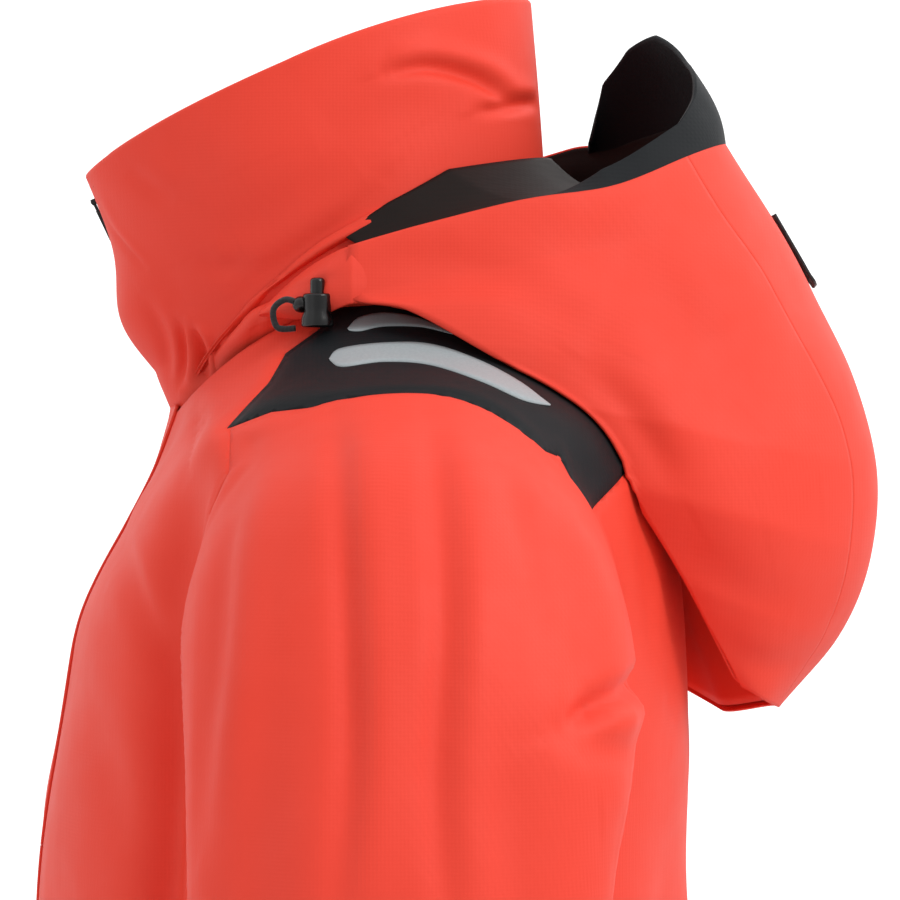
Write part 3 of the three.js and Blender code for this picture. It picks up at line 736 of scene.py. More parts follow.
def in_sleeve(points):
    """Above 0 on the sleeves, 0 along the seam round the armhole."""
    x, y, z = points.T
    x = np.abs(x)
    head = np.minimum.reduce([yoke_low(y) - z, x - 192, z + 108, y + 69, 102 - y])
    return np.maximum(x - (222 - 0.07 * (z - ARMHOLE_Z)), head)


def in_yoke(points):
    x, y, z = points.T
    return np.minimum(z - yoke_low(y), y - yoke_front(z))


def outer_sleeve(points):
    """Above 0 on the outer side of the sleeve's two long seams."""
    x, y, z = points.T
    line = np.array(SLEEVE_SEAM, float)
    middle = np.interp(-z, -line[:, 1], line[:, 0])
    return np.abs(x) - middle + np.maximum(z - ARMHOLE_Z, 0) * 0.8


# %% Creases of the sleeve, the chest and the back
SLEEVE_CREASES = [
    # line in y and z, width, depth
    ([(-18, -60), (-15, -90), (-12, -150), (-10, -220), (-16, -290)], 7, 5.0),
    ([(28, -58), (32, -100), (34, -160), (30, -230), (36, -300)], 8, 5.2),
    ([(-62, -76), (-70, -120), (-76, -190), (-80, -260)], 7, 4.4),
    ([(84, -104), (97, -160), (104, -230)], 9, 4.6),
    ([(64, -92), (76, -128), (84, -180)], 8, 3.6),
    ([(60, -220), (66, -300), (60, -380)], 14, 3.0),
    ([(-46, -180), (-52, -260), (-48, -340)], 14, 2.4),
    ([(132, -226), (104, -214), (82, -213)], 8, 2.6),
    ([(-92, -322), (-50, -345), (4, -346)], 10, 3.4),
    ([(-96, -362), (-52, -377), (-8, -372)], 9, 3.2),
    ([(86, -330), (52, -352), (14, -360)], 10, 2.8),
    ([(60, -400), (72, -450), (62, -520)], 12, 2.4),
    ([(-58, -430), (-66, -490), (-50, -560)], 12, 2.4),
    ([(-40, -596), (-10, -604), (24, -600)], 7, 2.0),
    ([(10, -560), (34, -572), (60, -566)], 7, 1.8),
]
# The one crease that also notches the sleeve's rear outline.
NOTCH_CREASES = [([(142, -186), (122, -190), (104, -197), (88, -206)], 6, 8.0)]
CHEST_CREASES = [
    ([(-127, -122), (-118, -148), (-102, -188)], 7, 5.0),
    ([(-90, -96), (-95, -150), (-98, -210), (-101, -290), (-102, -380)], 11, 15.0),
    ([(-96, -58), (-104, -72), (-116, -92)], 5, 3.0),
    ([(-84, -58), (-86, -70), (-90, -84)], 4, 2.6),
    ([(-152, -190), (-136, -226), (-120, -280)], 12, 3.0),
    ([(-168, -250), (-160, -320), (-150, -380)], 14, 2.6),
    ([(-120, -560), (-90, -610), (-84, -690)], 18, 4.0),
    ([(-30, -480), (-6, -560), (-2, -690)], 20, 4.6),
    ([(60, -500), (84, -590), (80, -700)], 20, 4.6),
    ([(-70, -300), (-40, -360), (20, -392)], 12, 3.6),
]
BACK_CREASES = [
    ([(132, -96), (140, -140), (143, -190)], 6, 3.0),
    ([(152, -118), (153, -170), (150, -220)], 6, 2.6),
    ([(160, -260), (150, -320), (120, -352)], 12, 3.4),
    ([(165, -420), (150, -470), (110, -500)], 14, 3.0),
]


def add_creases(points, normals):
    x = points[:, 0]
    on_sleeve = ease(in_sleeve(points), 0, 14)
    shift = waves(points, 0.8)
    for side in (1, -1):
        drift = 0 if side > 0 else 7
        facing = ease(side * normals[:, 0], 0.12, 0.5) * (side * x > 0)
        rear = ease(side * normals[:, 0], -0.35, 0.1) * (side * x > 0)
        shift += on_sleeve * facing * creasing(points, SLEEVE_CREASES, drift)
        shift += on_sleeve * rear * creasing(points, NOTCH_CREASES, drift)
        body_side = ease(side * x, 20, 70) * (1 - on_sleeve)
        shift += body_side * creasing(points, CHEST_CREASES + BACK_CREASES, drift)
    return points + normals * shift[:, None]


points = add_creases(points_of(garment), normals_of(garment))
set_points(garment, points)
print("creases up to", max(c[2] for c in SLEEVE_CREASES + CHEST_CREASES), "mm deep")

# %% Seams sink a little, and the cloth beside them swells
points, normals = points_of(garment), normals_of(garment)
x, y, z = points.T
sleeve_side = in_sleeve(points)
seam = np.abs(sleeve_side)
seam = np.minimum(seam, np.where(sleeve_side < 0, np.abs(in_yoke(points)), 1e3))
seam = np.minimum(seam, np.where(sleeve_side > 0, np.abs(outer_sleeve(points)), 1e3))
side_seam = (sleeve_side < 0) & (in_yoke(points) < 0)
seam = np.minimum(seam, np.where(side_seam, np.abs(y - SIDE_SEAM_Y), 1e3))
depth = -1.2 * np.exp(-((seam / 2.4) ** 2)) + 0.55 * np.exp(-(((seam - 6.5) / 3.2) ** 2))
set_points(garment, points + normals * depth[:, None])
print("seam grooves 1.2 mm deep")

# %% [markdown]
# ## Cutting the form into panels
# Each seam is where a simple function of place changes sign. Every edge that the line crosses is
# split exactly there, and every face it passes through is divided, so the panels meet on one
# clean line and share their edge, as sewn pieces do.

# %% Cut along a line
SNAP = 0.16  # a corner this near to the line, as a share of its edge, moves onto it


def cut_along(thing, field, region=None):
    """Adds edges where field is nought, on the part of the mesh where region is above nought."""
    points = points_of(thing)
    values = field(points)
    inside = np.ones(len(points), bool) if region is None else region(points) > -0.4
    ends = np.empty(len(thing.data.edges) * 2, int)
    thing.data.edges.foreach_get("vertices", ends)
    ends = ends.reshape(-1, 2)
    crossed = values[ends[:, 0]] * values[ends[:, 1]] < 0
    crossed &= inside[ends[:, 0]] & inside[ends[:, 1]]
    with mesh_edit(thing) as bm:
        level = {v: float(values[v.index]) for v in bm.verts}
        chosen = [bm.edges[k] for k in np.flatnonzero(crossed)]
        for line in chosen:
            a, b = line.verts
            if level[a] * level[b] >= 0:
                continue
            f = level[a] / (level[a] - level[b])
            if f < SNAP or f > 1 - SNAP:
                near, far = (a, b) if f < 0.5 else (b, a)
                near.co = near.co.lerp(far.co, f if f < 0.5 else 1 - f)
                level[near] = 0.0
        for line in chosen:
            a, b = line.verts
            if level[a] * level[b] < 0:
                _, middle = bmesh.utils.edge_split(line, a, level[a] / (level[a] - level[b]))
                level[middle] = 0.0
        on_line = [v for v in bm.verts if level[v] == 0.0]
        for face in {face for v in on_line for face in v.link_faces}:
            touching = [v for v in face.verts if level[v] == 0.0]
            if len(touching) < 2:
                continue
            a, b = touching[0], touching[len(touching) // 2]
            if not bm.edges.get((a, b)):
                bmesh.utils.face_split(face, a, b)


# %% Where the form ends and where it opens
POCKET_TOP = np.array([187.0, -121.58, -322.0])
POCKET_DOWN = np.array([0.0984, 0.1482, -0.9840])
POCKET_ACROSS = np.array([0.6503, 0.7390, 0.1763])
POCKET_OUT = np.array([0.7533, -0.6573, -0.0237])
POCKET_LENGTH = 162.6
ZIP_EDGE = 11.0


def past_ends(points):
    """Above 0 on what is kept between the neck seam, the wrists and the hem."""
    x, y, z = points.T
    neck = np.where(y < 0, -5 - 48 * (y / 95) ** 2, -5 + 15 * (y / 95) ** 2)
    foot = np.where(np.abs(x) > 270, z + 640, z + 740)
    return np.minimum(neck - z, foot)


def beside_zip(points):
    return np.abs(points[:, 0]) - ZIP_EDGE


def beside_pocket(points):
    local = points - POCKET_TOP
    local[:, 0] = np.abs(points[:, 0]) - POCKET_TOP[0]
    across, down = local @ POCKET_ACROSS, local @ POCKET_DOWN
    return np.maximum.reduce([np.abs(across) - 4.2, -down, down - POCKET_LENGTH])


def chest_only(points):
    return np.minimum(-60 - points[:, 1], -in_sleeve(points) + 1e-3)


def torso_only(points):
    return -in_sleeve(points)


def below_yoke(points):
    return np.minimum(-in_sleeve(points), -in_yoke(points))


def yoke_only(points):
    return np.minimum(-in_sleeve(points), in_yoke(points))


cut_along(garment, past_ends)
cut_along(garment, beside_zip, chest_only)
cut_along(garment, beside_pocket, chest_only)
cut_along(garment, in_sleeve)
cut_along(garment, outer_sleeve, in_sleeve)
cut_along(garment, in_yoke, torso_only)
cut_along(garment, lambda p: p[:, 1] - SIDE_SEAM_Y, below_yoke)
cut_along(garment, lambda p: p[:, 0], yoke_only)
print("seams cut,", len(garment.data.polygons), "faces")

# %% Take the panels apart
corners = [tuple(face.vertices) for face in garment.data.polygons]
points = points_of(garment)
centres = np.array([points[list(c)].mean(0) for c in corners])
kept = (past_ends(centres) > 0) & ((beside_zip(centres) > 0) | (centres[:, 1] > -60))
kept &= (beside_pocket(centres) > 0) | (centres[:, 1] > -60)
sleeve_faces = in_sleeve(centres) > 0
outer_faces = outer_sleeve(centres) > 0
yoke_faces = (in_yoke(centres) > 0) & ~sleeve_faces
front_faces = (centres[:, 1] < SIDE_SEAM_Y) & ~sleeve_faces & ~yoke_faces
back_faces = (centres[:, 1] >= SIDE_SEAM_Y) & ~sleeve_faces & ~yoke_faces
left_faces = centres[:, 0] > 0


def panel_from(name, choice):
    """A panel made of the chosen faces of the form."""
    faces = [corners[k] for k in np.flatnonzero(choice & kept)]
    used = sorted({v for face in faces for v in face})
    renumber = {v: k for k, v in enumerate(used)}
    return make_mesh(name, points[used], [[renumber[v] for v in face] for face in faces])


def thicken(thing, millimetres, offset=-1.0):
    """Gives a sheet its thickness: behind its face, or on both sides of it with offset 0."""
    apply_modifier(thing, "SOLIDIFY", thickness=millimetres * MM, offset=offset, use_rim=True)


def blend_arm(piece):
    """Bakes the piece's place into its mesh; it is put on no body."""
    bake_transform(piece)


SHELL_THICKNESS = 1.6


def shell_panel(node, choice, body="shell", material=CORAL):
    piece = panel_from(node + "_cloth", choice)
    thicken(piece, SHELL_THICKNESS)
    return finish_piece(piece, body, material, [node])


for side, name in SIDES:
    mine = left_faces == (side > 0)
    for stem, choice in (("outer_", outer_faces), ("under_", ~outer_faces)):
        blend_arm(
            shell_panel("sleeve_" + stem + name, sleeve_faces & choice & mine, None)
        )
    shell_panel("yoke_" + name, yoke_faces & mine, "shell", CHARCOAL)
    shell_panel("front_panel_" + name, front_faces & mine)
shell_panel("back_panel", back_faces)

bpy.data.objects.remove(garment, do_unlink=True)


# %% Keep other cloth off the shell
shell_tree = BVHTree.FromPolygons([tuple(p) for p in points], corners)
SHELL_SEARCH = 60.0  # points further than this from the shell are left alone
SHELL_CLEARANCE = 3.0


def off_the_shell(spots, clearance):
    """Moves points that would lie in the body or the sleeves out along the shell's own normal."""
    moved = spots.copy()
    for k, spot in enumerate(spots):
        place, normal, _, _ = shell_tree.find_nearest(Vector(spot), SHELL_SEARCH)
        if place is not None and (Vector(spot) - place).dot(normal) < clearance:
            moved[k] = place + normal * clearance
    return moved


def inside_shell(spots, depth):
    """Points moved to lie a depth inside the shell beneath them."""
    moved = spots.copy()
    for k, spot in enumerate(spots):
        place, normal, _, _ = shell_tree.find_nearest(Vector(spot))
        moved[k] = place - normal * depth
    return moved


def on_shell(eye, toward, lift):
    """The point of the shell first met from an eye in one direction, lifted off it."""
    place, normal, _, _ = shell_tree.ray_cast(Vector(eye), Vector(toward))
    return np.array(place + normal * lift)


print("shell ready for what lies on it")

# %% [markdown]
# ## Collar
# The storm collar is a tall stiff tube of shell cloth round a fleece lining. Its top edge rolls
# over, its front is pulled straight by the zip, and it creases where it bends at the nape and
# puckers at the throat. Each half is one fine sheet, creased, then given its thickness.

# %% Sheets that stand on their own
COLLAR_MIDDLE = (0, -20, 60)
HOOD_MIDDLE = (0, 90, -60)
BODY_MIDDLE = (0, 0, -400)


def facing_out(thing, middle):
    """Turns a sheet's faces away from a point."""
    if ((points_of(thing) - middle) * normals_of(thing)).sum() < 0:
        thing.data.flip_normals()
    return thing


def cloth(piece, middle, millimetres=SHELL_THICKNESS, shape=None):
    """A sheet facing away from a point, shaped by its points and normals, then thickened."""
    facing_out(piece, middle)
    if shape:
        set_points(piece, shape(points_of(piece), normals_of(piece)))
    thicken(piece, millimetres)
    return piece


def collar_edge(x):
    return -np.degrees(np.arccos(x / 98.0))


# %% Collar halves
COLLAR_CREASES = [
    ([(8, 113), (30, 117), (54, 112), (70, 103), (84, 104)], 4, 4.6),
    ([(56, 95), (72, 98), (92, 104)], 3.2, 3.2),
    ([(-146, 54), (-137, 38), (-128, 26), (-118, 15)], 1.6, 1.6),
    ([(-99, -14), (-97, -30), (-99, -44)], 2.4, 5.0),
    ([(-93, -16), (-87, -28), (-86, -42)], 2.3, 5.4),
    ([(-82, -24), (-77, -31), (-73, -42)], 2.6, 3.4),
    ([(-62, -9), (-58, -20), (-60, -34)], 2.6, 3.2),
    ([(-118, -2), (-108, -22), (-106, -44)], 4, 2.4),
    ([(-126, 66), (-112, 54), (-100, 50)], 5, 1.8),
    ([(-90, 20), (-78, 14), (-66, 16)], 5, 1.6),
    ([(-70, 30), (-40, 44), (-6, 66)], 14, 2.0),
    ([(-30, 78), (10, 92), (48, 92)], 16, 1.6),
    ([(-62, 6), (-36, 22), (-10, 40), (6, 58)], 7, 2.0),
]


ROLL_FROM = 0.93  # the last part of each half rolls over, inward, along its top edge


def collar_cloth(side):
    def surface(u, v):
        theta = mix(collar_edge(ZIP_EDGE), 89.8, u)
        height = mix(-0.09, 1.0, np.minimum(v / ROLL_FROM, 1))
        points = collar(theta, height)
        full = 4.5 * np.sin(np.pi * np.clip(height, 0, 1)) * ease(u, 0.02, 0.2)
        full = full * (1 - 0.8 * ease(theta, 40, 85))
        s, c = sin_cos(theta)
        bow = 14 * np.exp(-(((height - 0.33) / 0.25) ** 2))
        bow = np.maximum(bow, 7.5 * (1 - ease(height, 0.05, 0.5))) * ease(-s, 0.78, 1.0)
        points[:, 1] -= bow
        points = pushed_out(points, theta, full)
        roll = np.clip((v - ROLL_FROM) / (1 - ROLL_FROM), 0, 1) * math.pi * 0.9
        points[:, 0] -= c * 2.4 * (1 - np.cos(roll))
        points[:, 1] -= s * 2.4 * (1 - np.cos(roll))
        points[:, 2] += 2.4 * np.sin(roll)
        return points * [side, 1, 1]

    def creased(points, normals):
        shift = waves(points, 0.5) + creasing(points, COLLAR_CREASES, 0 if side > 0 else 6)
        return points + normals * (shift * ease(np.abs(points[:, 0]), 12, 40))[:, None]

    return surface, creased


for side, name in SIDES:
    surface, creased = collar_cloth(side)
    piece = grid("collar_outer_" + name + "_cloth", surface, 210, 96)
    cloth(piece, COLLAR_MIDDLE, shape=creased)
    finish_piece(piece, "shell", CORAL, ["collar_outer_" + name])


# %% Fleece inside the collar
def fleece_surface(u, v):
    edge = collar_edge(28)
    theta, height = mix(edge, 180 - edge, u), mix(0.03, 0.985, v)
    points = collar(theta, height)
    return pushed_out(points, theta, 3.2 * np.sin(np.pi * height) - 4.6)


fleece = cloth(grid("collar_fleece", fleece_surface, 120, 40), COLLAR_MIDDLE, 3.0)
finish_piece(fleece, "shell", FLEECE, ["collar_lining"])


# %% [markdown]
# ## Hood
# The hood hangs upside down behind the neck: its face opening looks up, its crown hangs down the
# back. It is one rounded bag of three panels with a lining inside and a stiffened brim that stands
# up from the rear of the opening, taller on the wearer's right where the hood has slumped over.

# %% Hood surface
CHEEK_RAIL = rail(
    [(-16, 22), (-16, -3), (12, -8), (46, -26), (90, -54), (122, -94), (156, -146), (190, -204)]
)
REAR_RAIL = rail(
    [(188, 82), (209, 45), (232, 5), (254, -40), (268, -90), (263, -135), (244, -180)]
    + [(214, -218)]
)
HOOD_HALF = [127, 133, 142, 150, 156, 152, 132, 96]
HOOD_CREASES = [
    ([(-6, 14), (30, 16), (70, 6), (110, -18)], 12, 2.2),
    ([(40, 30), (90, 26), (136, 4), (170, -34)], 16, 2.0),
    ([(120, 40), (150, 10), (176, -40), (190, -90)], 18, 2.2),
    ([(110, -40), (132, -64), (152, -96)], 9, 3.0),
    ([(150, -120), (184, -150), (216, -160)], 13, 2.6),
    ([(214, 20), (222, -20), (226, -70)], 14, 1.8),
    ([(176, -176), (200, -190), (222, -188)], 8, 2.4),
]


def hood(phi, level):
    """Level 0 is the face opening, 1 the foot; phi 0 to 180 goes over the back to the right."""
    t = 7 * np.asarray(level, float)
    cheek, rear, half = CHEEK_RAIL(t), REAR_RAIL(t), np.interp(t, range(8), HOOD_HALF)
    s = np.maximum(np.sin(np.radians(phi)), 0)
    c = np.cos(np.radians(phi))
    reach = s**0.8
    x = half * power(c, 0.8)
    y = mix(cheek[..., 0], rear[..., 0], reach)
    z = mix(cheek[..., 1], rear[..., 1], reach)
    edge = np.clip(1 - t / 1.2, 0, 1) * ease(c, -0.1, 0.5)
    z = z - edge * 8 * np.exp(-(((y - 124) / 36) ** 2))
    far = ease(-c, -0.05, 0.55)
    lift = mix(27, 21, ease(y, 110, 140))
    z = z + far * lift * ease(y, -16, 40) * (1 - ease(level, 0.0, 0.42))
    y = y - far * 21 * ease(level, 0.5, 0.9)
    z = z - far * 8 * ease(level, 0.6, 0.95)
    return np.stack([x, y, z], -1)


def hood_creased(points, normals):
    sideways = ease(np.abs(normals[:, 0]), 0.15, 0.5)
    shift = waves(points, 1.0) + creasing(points, HOOD_CREASES) * sideways
    return off_the_shell(points + normals * shift[:, None], SHELL_CLEARANCE)


HOOD_SEAM = 58
for name, start, stop, columns in (
    ("hood_side_left", 0.5, HOOD_SEAM, 60),
    ("hood_centre", HOOD_SEAM, 180 - HOOD_SEAM, 70),
    ("hood_side_right", 180 - HOOD_SEAM, 179.5, 60),
):
    piece = grid(
        name + "_cloth",
        lambda u, v: hood(mix(start, stop, u), mix(0.0, 0.985, v)),
        columns,
        110,
    )
    cloth(piece, HOOD_MIDDLE, shape=hood_creased)
    finish_piece(piece, "hood", CORAL, [name])


# %% Hood lining
def hood_inside(u, v):
    level = mix(0.0, 0.86, v)
    lower = ease(level, 0.3, 0.5)
    phi = mix(3 + 26 * lower, 177 - 40 * lower, u)
    points = hood(phi, level)
    ahead, below = hood(phi + 0.5, level) - points, hood(phi, level + 0.004) - points
    normal = np.cross(ahead, below)
    normal /= np.linalg.norm(normal, axis=1)[:, None]
    inward = mix(2.2, 6.0, ease(level, 0.0, 0.06))
    toward = np.sign(((HOOD_MIDDLE - points) * normal).sum(1))
    return points + normal * (toward * inward)[:, None]


lining = cloth(grid("hood_lining_cloth", hood_inside, 110, 70), HOOD_MIDDLE, 1.0)
finish_piece(lining, "hood", LINING, ["hood_lining"])

# %% Brim
BRIM_RISE = [(26, 0.5), (30, 3), (38, 10.5), (50, 14), (60, 17), (72, 27), (80, 36), (90, 45)]
BRIM_RISE += [(98, 49), (112, 52), (124, 46), (134, 33), (139, 16), (143, 1)]
BRIM_LEAN = 0.42


def brim_surface(u, v):
    phi = mix(BRIM_RISE[0][0], BRIM_RISE[-1][0], u)
    rise = np.interp(phi, *zip(*BRIM_RISE))
    foot = hood(phi, 0 * phi)
    bow = 4 * np.sin(np.pi * v) * ease(rise, 10, 40)
    x = foot[:, 0] * mix(1, 0.88, v)
    y = foot[:, 1] - BRIM_LEAN * rise * v + bow * np.sin(np.radians(phi))
    z = foot[:, 2] - 3 + (0.95 * rise + 3) * v
    return np.stack([x, y, z], -1)


brim = cloth(grid("hood_brim_cloth", brim_surface, 120, 26), (0, 90, 90), 2.2)
finish_piece(brim, "hood", CHARCOAL, ["hood_brim"])


# %% [markdown]
# ## The band at the foot of the collar, and the cloth that joins it to the hood
# The hood is sewn to the collar inside a padded band that wraps the collar's foot and runs down
# to the throat on each side. Behind it a dark lining slopes from the collar out to the hood's edge.

# %% Band round the collar
BAND_TOP = [(-62, 0.01), (-50, 0.06), (-40, 0.10), (-20, 0.19), (-8, 0.27), (8, 0.36)]
BAND_TOP += [(30, 0.43), (90, 0.4)]
BAND_FULL = [(-62, -2.5), (-50, 1.5), (-34, 8), (-14, 17), (4, 14), (20, 7), (90, 6)]


def band_surface(u, v):
    theta = mix(-62, 242, u)
    across = np.where(theta > 90, 180 - theta, theta)
    top = np.interp(across, *zip(*BAND_TOP))
    height = mix(top, -0.045, v)
    points = collar(theta, height)
    full = np.interp(across, *zip(*BAND_FULL))
    swell = np.sin(np.pi * np.clip((v - 0.2) / 0.8, 0, 1)) ** 0.8
    piping = 3.0 * np.exp(-(((v - 0.1) / 0.05) ** 2)) - 2.2 * np.exp(-(((v - 0.21) / 0.04) ** 2))
    out = 0.6 + full * swell + 4.5 * np.sin(np.pi * np.clip(height, 0, 1)) + piping
    return pushed_out(points, theta, out)


BAND_CREASES = [
    ([(-56, -2), (-30, 14), (-4, 30)], 3.2, 2.2),
    ([(-52, -14), (-34, -8), (-14, -2)], 3.5, 2.6),
    ([(-60, -18), (-54, -6), (-48, 4)], 3.0, 1.8),
]


def band_creased(points, normals):
    return points + normals * creasing(points, BAND_CREASES)[:, None]


band = cloth(grid("hood_roll_cloth", band_surface, 260, 44), (0, 0, 20), shape=band_creased)
finish_piece(band, "shell", CORAL, ["hood_roll"])


# %% The hood's cheeks, carried forward to the throat
CHEEK_TOP = rail([(-57, -9), (-46, 2), (-34, 12), (-22, 19.3), (-10, 24), (6, 25)])
CHEEK_FOOT = rail([(-57, -11), (-46, -12), (-34, -13), (-22, -10), (-10, -5.5), (6, -5.5)])
CHEEK_INSIDE = [27, 18, 9, 1.5, -3.4, -0.4]


def cheek_surface(side):
    """Padded cloth from a point on the collar's band back to the front edge of the hood."""

    def surface(u, v):
        y, z = mix(CHEEK_TOP(5 * u), CHEEK_FOOT(5 * u), v[:, None]).T
        hood_x = 127 + 0.24 * (22 - z)
        out = hood_x - np.interp(5 * u, range(6), CHEEK_INSIDE)
        out = out - mix(9, 2.6, ease(u, 0.4, 0.8)) * np.abs(2 * v - 1) ** 3
        crease = 1.8 * np.exp(-(((z - 2 - 0.3 * (y + 40)) / 3.2) ** 2)) * ease(-y, 14, 30)
        return np.stack([side * (out - crease), y, z], -1)

    return surface


for side, name in SIDES:
    cheek = cloth(grid("hood_cheek_" + name, cheek_surface(side), 60, 30), (0, -20, 0))
    finish_piece(cheek, None, CORAL)
    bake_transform(cheek)


# %% Dark lining from the collar to the hood's edge
def neck_lining_surface(side):
    def surface(u, v):
        theta = mix(-2, 86, u)
        height = np.interp(theta, [-2, 12, 30, 60, 86], [0.29, 0.38, 0.46, 0.45, 0.44])
        inner = pushed_out(collar(theta, height), theta, 5.5 * np.sin(np.pi * height))
        phi = np.interp(theta, [-2, 30, 60, 86], [4, 24, 33, 38])
        outer = hood(phi, 0 * phi) - [1.5, 0, 2.5]
        points = mix(inner, outer, v[:, None])
        points[:, 2] -= 4.0 * np.sin(np.pi * v)
        return points * [side, 1, 1]

    return surface


for side, name in SIDES:
    piece = grid("neck_lining_" + name, neck_lining_surface(side), 90, 24)
    cloth(piece, (0, 40, -60), 1.0)
    finish_piece(piece, None, LINING)
    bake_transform(piece)


# %% Cloth under the hood, at the nape
def hood_edge(u):
    """Along the hood's lower edge: from the right cheek (-1), round the foot, to the left (1)."""
    far = np.clip((np.abs(u) - 0.3) / 0.7, 0, 1)
    level = mix(0.98, 0.28, far)
    across = np.clip(np.abs(u) / 0.3, 0, 1) * 88.5
    points = hood(90 - np.sign(u) * across, level)
    inward = (0, 120, -60) - points
    return points + 4.0 * inward / np.linalg.norm(inward, axis=1)[:, None]


def nape_surface(u, v):
    """From the neck seam behind the collar out to the hood's lower edge, lying on the back."""
    turn = 2 * u - 1
    seam = body(90 - 84 * turn, 0 * u) * [1.03, 1.04, 1] + [0, 0, 1.0]
    points = mix(seam, hood_edge(turn), (v**1.5)[:, None])
    slack = 5 * np.sin(np.pi * v) * (1 - turn**2)
    points[:, 1] += slack + 1.5 * np.sin(9 * turn + 4 * v) * np.sin(np.pi * v)
    return points


nape = grid("hood_nape_cloth", nape_surface, 150, 70)
cloth(nape, (0, 0, -60), shape=lambda spots, normals: off_the_shell(spots, SHELL_CLEARANCE))
finish_piece(nape, None, CORAL, ["hood_nape_panel"])
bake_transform(nape)

# %% [markdown]
# ## Silver stripes
# Two curved stripes of glass-bead tape are sewn on each side of the yoke. They are laid on the
# shell by looking at it from the side, so they follow every rise and crease beneath them.

# %% Stripes on the yoke
LOWER_TOP = [(-21, -33.5), (-15, -28), (9, -25), (31, -26), (54, -34), (74, -45), (88, -56.4)]
LOWER_FOOT = [(-20, -35), (-14, -37.5), (6, -35), (29, -36.6), (54, -45), (74, -54), (88, -57)]
UPPER_TOP = [(-12, -18), (-6, -12), (7, -9.5), (24, -12), (41, -20.5)]
UPPER_FOOT = [(-11, -19), (-5, -19), (7, -16.6), (26, -17), (41, -21)]


STRIPE_THICKNESS = 0.6


def stripe(name, side, top, foot):
    upper, lower = rail(top), rail(foot)
    last = len(top) - 1

    def spot(across, along):
        y, z = mix(upper(last * along), lower(last * along), across)
        edge = min(1.0, 8 * min(across, 1 - across))
        return on_shell((side * 600, y, z), (-side, 0, 0), 0.35 + 0.45 * edge)

    piece = cloth(patch(name + "_tape", spot, 6, 72), (0, 20, -100), STRIPE_THICKNESS)
    finish_piece(piece, "shell", SILVER, [name])


for side, name in SIDES:
    stripe("reflector_lower_" + name, side, LOWER_TOP, LOWER_FOOT)
    stripe("reflector_upper_" + name, side, UPPER_TOP, UPPER_FOOT)


# %% [markdown]
# ## Front: zip, flaps and pockets
# The main zip runs from the top of the collar to the hem. Below the throat it lies under a storm
# flap with a strip of loop tape, and a second flap backs it. Teeth are one small block each,
# made once and repeated down both edges of the tape.

# %% Points down the front
def on_front(x, z, lift):
    return on_shell((x, -600, z), (0, 1, 0), lift)


def front_strip(name, left, right, high, low, lift, millimetres, columns, rows):
    """A strip of cloth down the front, lift(u, v) off the shell or, below 0, behind it."""

    def spot(u, v):
        return on_front(mix(left, right, u), mix(high, low, v), lift(u, v))

    return cloth(patch(name, spot, columns, rows), BODY_MIDDLE, millimetres)


def flap_lift(u, v):
    """The flap stands off the shell most at its free edge, and dips where it is stitched."""
    stitch = -0.4 * math.exp(-(((u - 0.9) / 0.02) ** 2))
    return 1.5 + 1.6 * (1 - u) ** 2 + stitch + 0.4 * math.sin(23 * v) * (1 - u)


FLAP_TOP, FLAP_SPLIT, FLAP_FOOT = -56.0, -286.0, -737.0
upper_flap = front_strip(
    "storm_flap_upper_cloth", -35, 32, FLAP_TOP, FLAP_SPLIT + 0.6, flap_lift, 1.6, 24, 90
)
finish_piece(upper_flap, "shell", CORAL, ["storm_flap_upper"])
lower_flap = front_strip(
    "storm_flap_lower_cloth", -35, 32, FLAP_SPLIT - 0.6, FLAP_FOOT, flap_lift, 1.6, 24, 170
)
finish_piece(lower_flap, None, CORAL, ["storm_flap_lower"])
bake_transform(lower_flap)

loop_tape = front_strip(
    "flap_loop_tape", -31, -16, -306, -718, lambda u, v: 0.9, 0.7, 6, 120
)
finish_piece(loop_tape, "shell", WEBBING, ["flap_loop_strip"])
inner_flap = front_strip(
    "inner_storm_flap_cloth", -23, 23, -80, -722, lambda u, v: -8.0, 1.2, 12, 120
)
finish_piece(inner_flap, "shell", CHARCOAL, ["inner_storm_flap"])


# %% Main zip
ZIP_DEPTH = 3.2
TOOTH_STEP = 1.4


def zip_path():
    """Down the collar's front and then the chest, behind the face of the shell."""
    head, foot = np.array([0, *COLLAR_FRONT_TOP]), np.array([0, -95.0, -53.0])
    behind = np.array([0, 0.902, 0.432]) * ZIP_DEPTH
    rows = [mix(head, foot, f) + behind for f in np.linspace(0.05, 0.98, 40)]
    rows += [on_front(0, z, -ZIP_DEPTH) for z in np.linspace(-88, -734, 184)]
    path = np.array(rows)
    run = np.concatenate([[0], np.cumsum(np.linalg.norm(np.diff(path, axis=0), axis=1))])
    even = np.arange(0, run[-1], TOOTH_STEP)
    return np.stack([np.interp(even, run, path[:, k]) for k in range(3)], 1)


BLOCK_FACES = [(0, 1, 3, 2), (4, 6, 7, 5), (0, 4, 5, 1), (2, 3, 7, 6), (0, 2, 6, 4), (1, 5, 7, 3)]


def teeth(name, path, aside, side, width, reach, deep):
    """One block to each tooth, on one edge of the tape; the two edges take turns."""
    points, faces = [], []
    ahead = np.gradient(path, axis=0)
    ahead /= np.linalg.norm(ahead, axis=1)[:, None]
    for k in range(0 if side > 0 else 1, len(path), 2):
        out = np.cross(ahead[k], aside)
        start = len(points)
        for end in (-1, 1):
            for face in (-1, 1):
                for a, b in ((-0.4 * reach, 1.0), (reach, 0.72)):
                    spot = path[k] + side * aside * a + ahead[k] * end * width * b / 2
                    points.append(spot + out * face * deep * b / 2)
        faces += [[start + corner for corner in face] for face in BLOCK_FACES]
    row = make_mesh(name, points, faces)
    turn_outward(row)
    return row


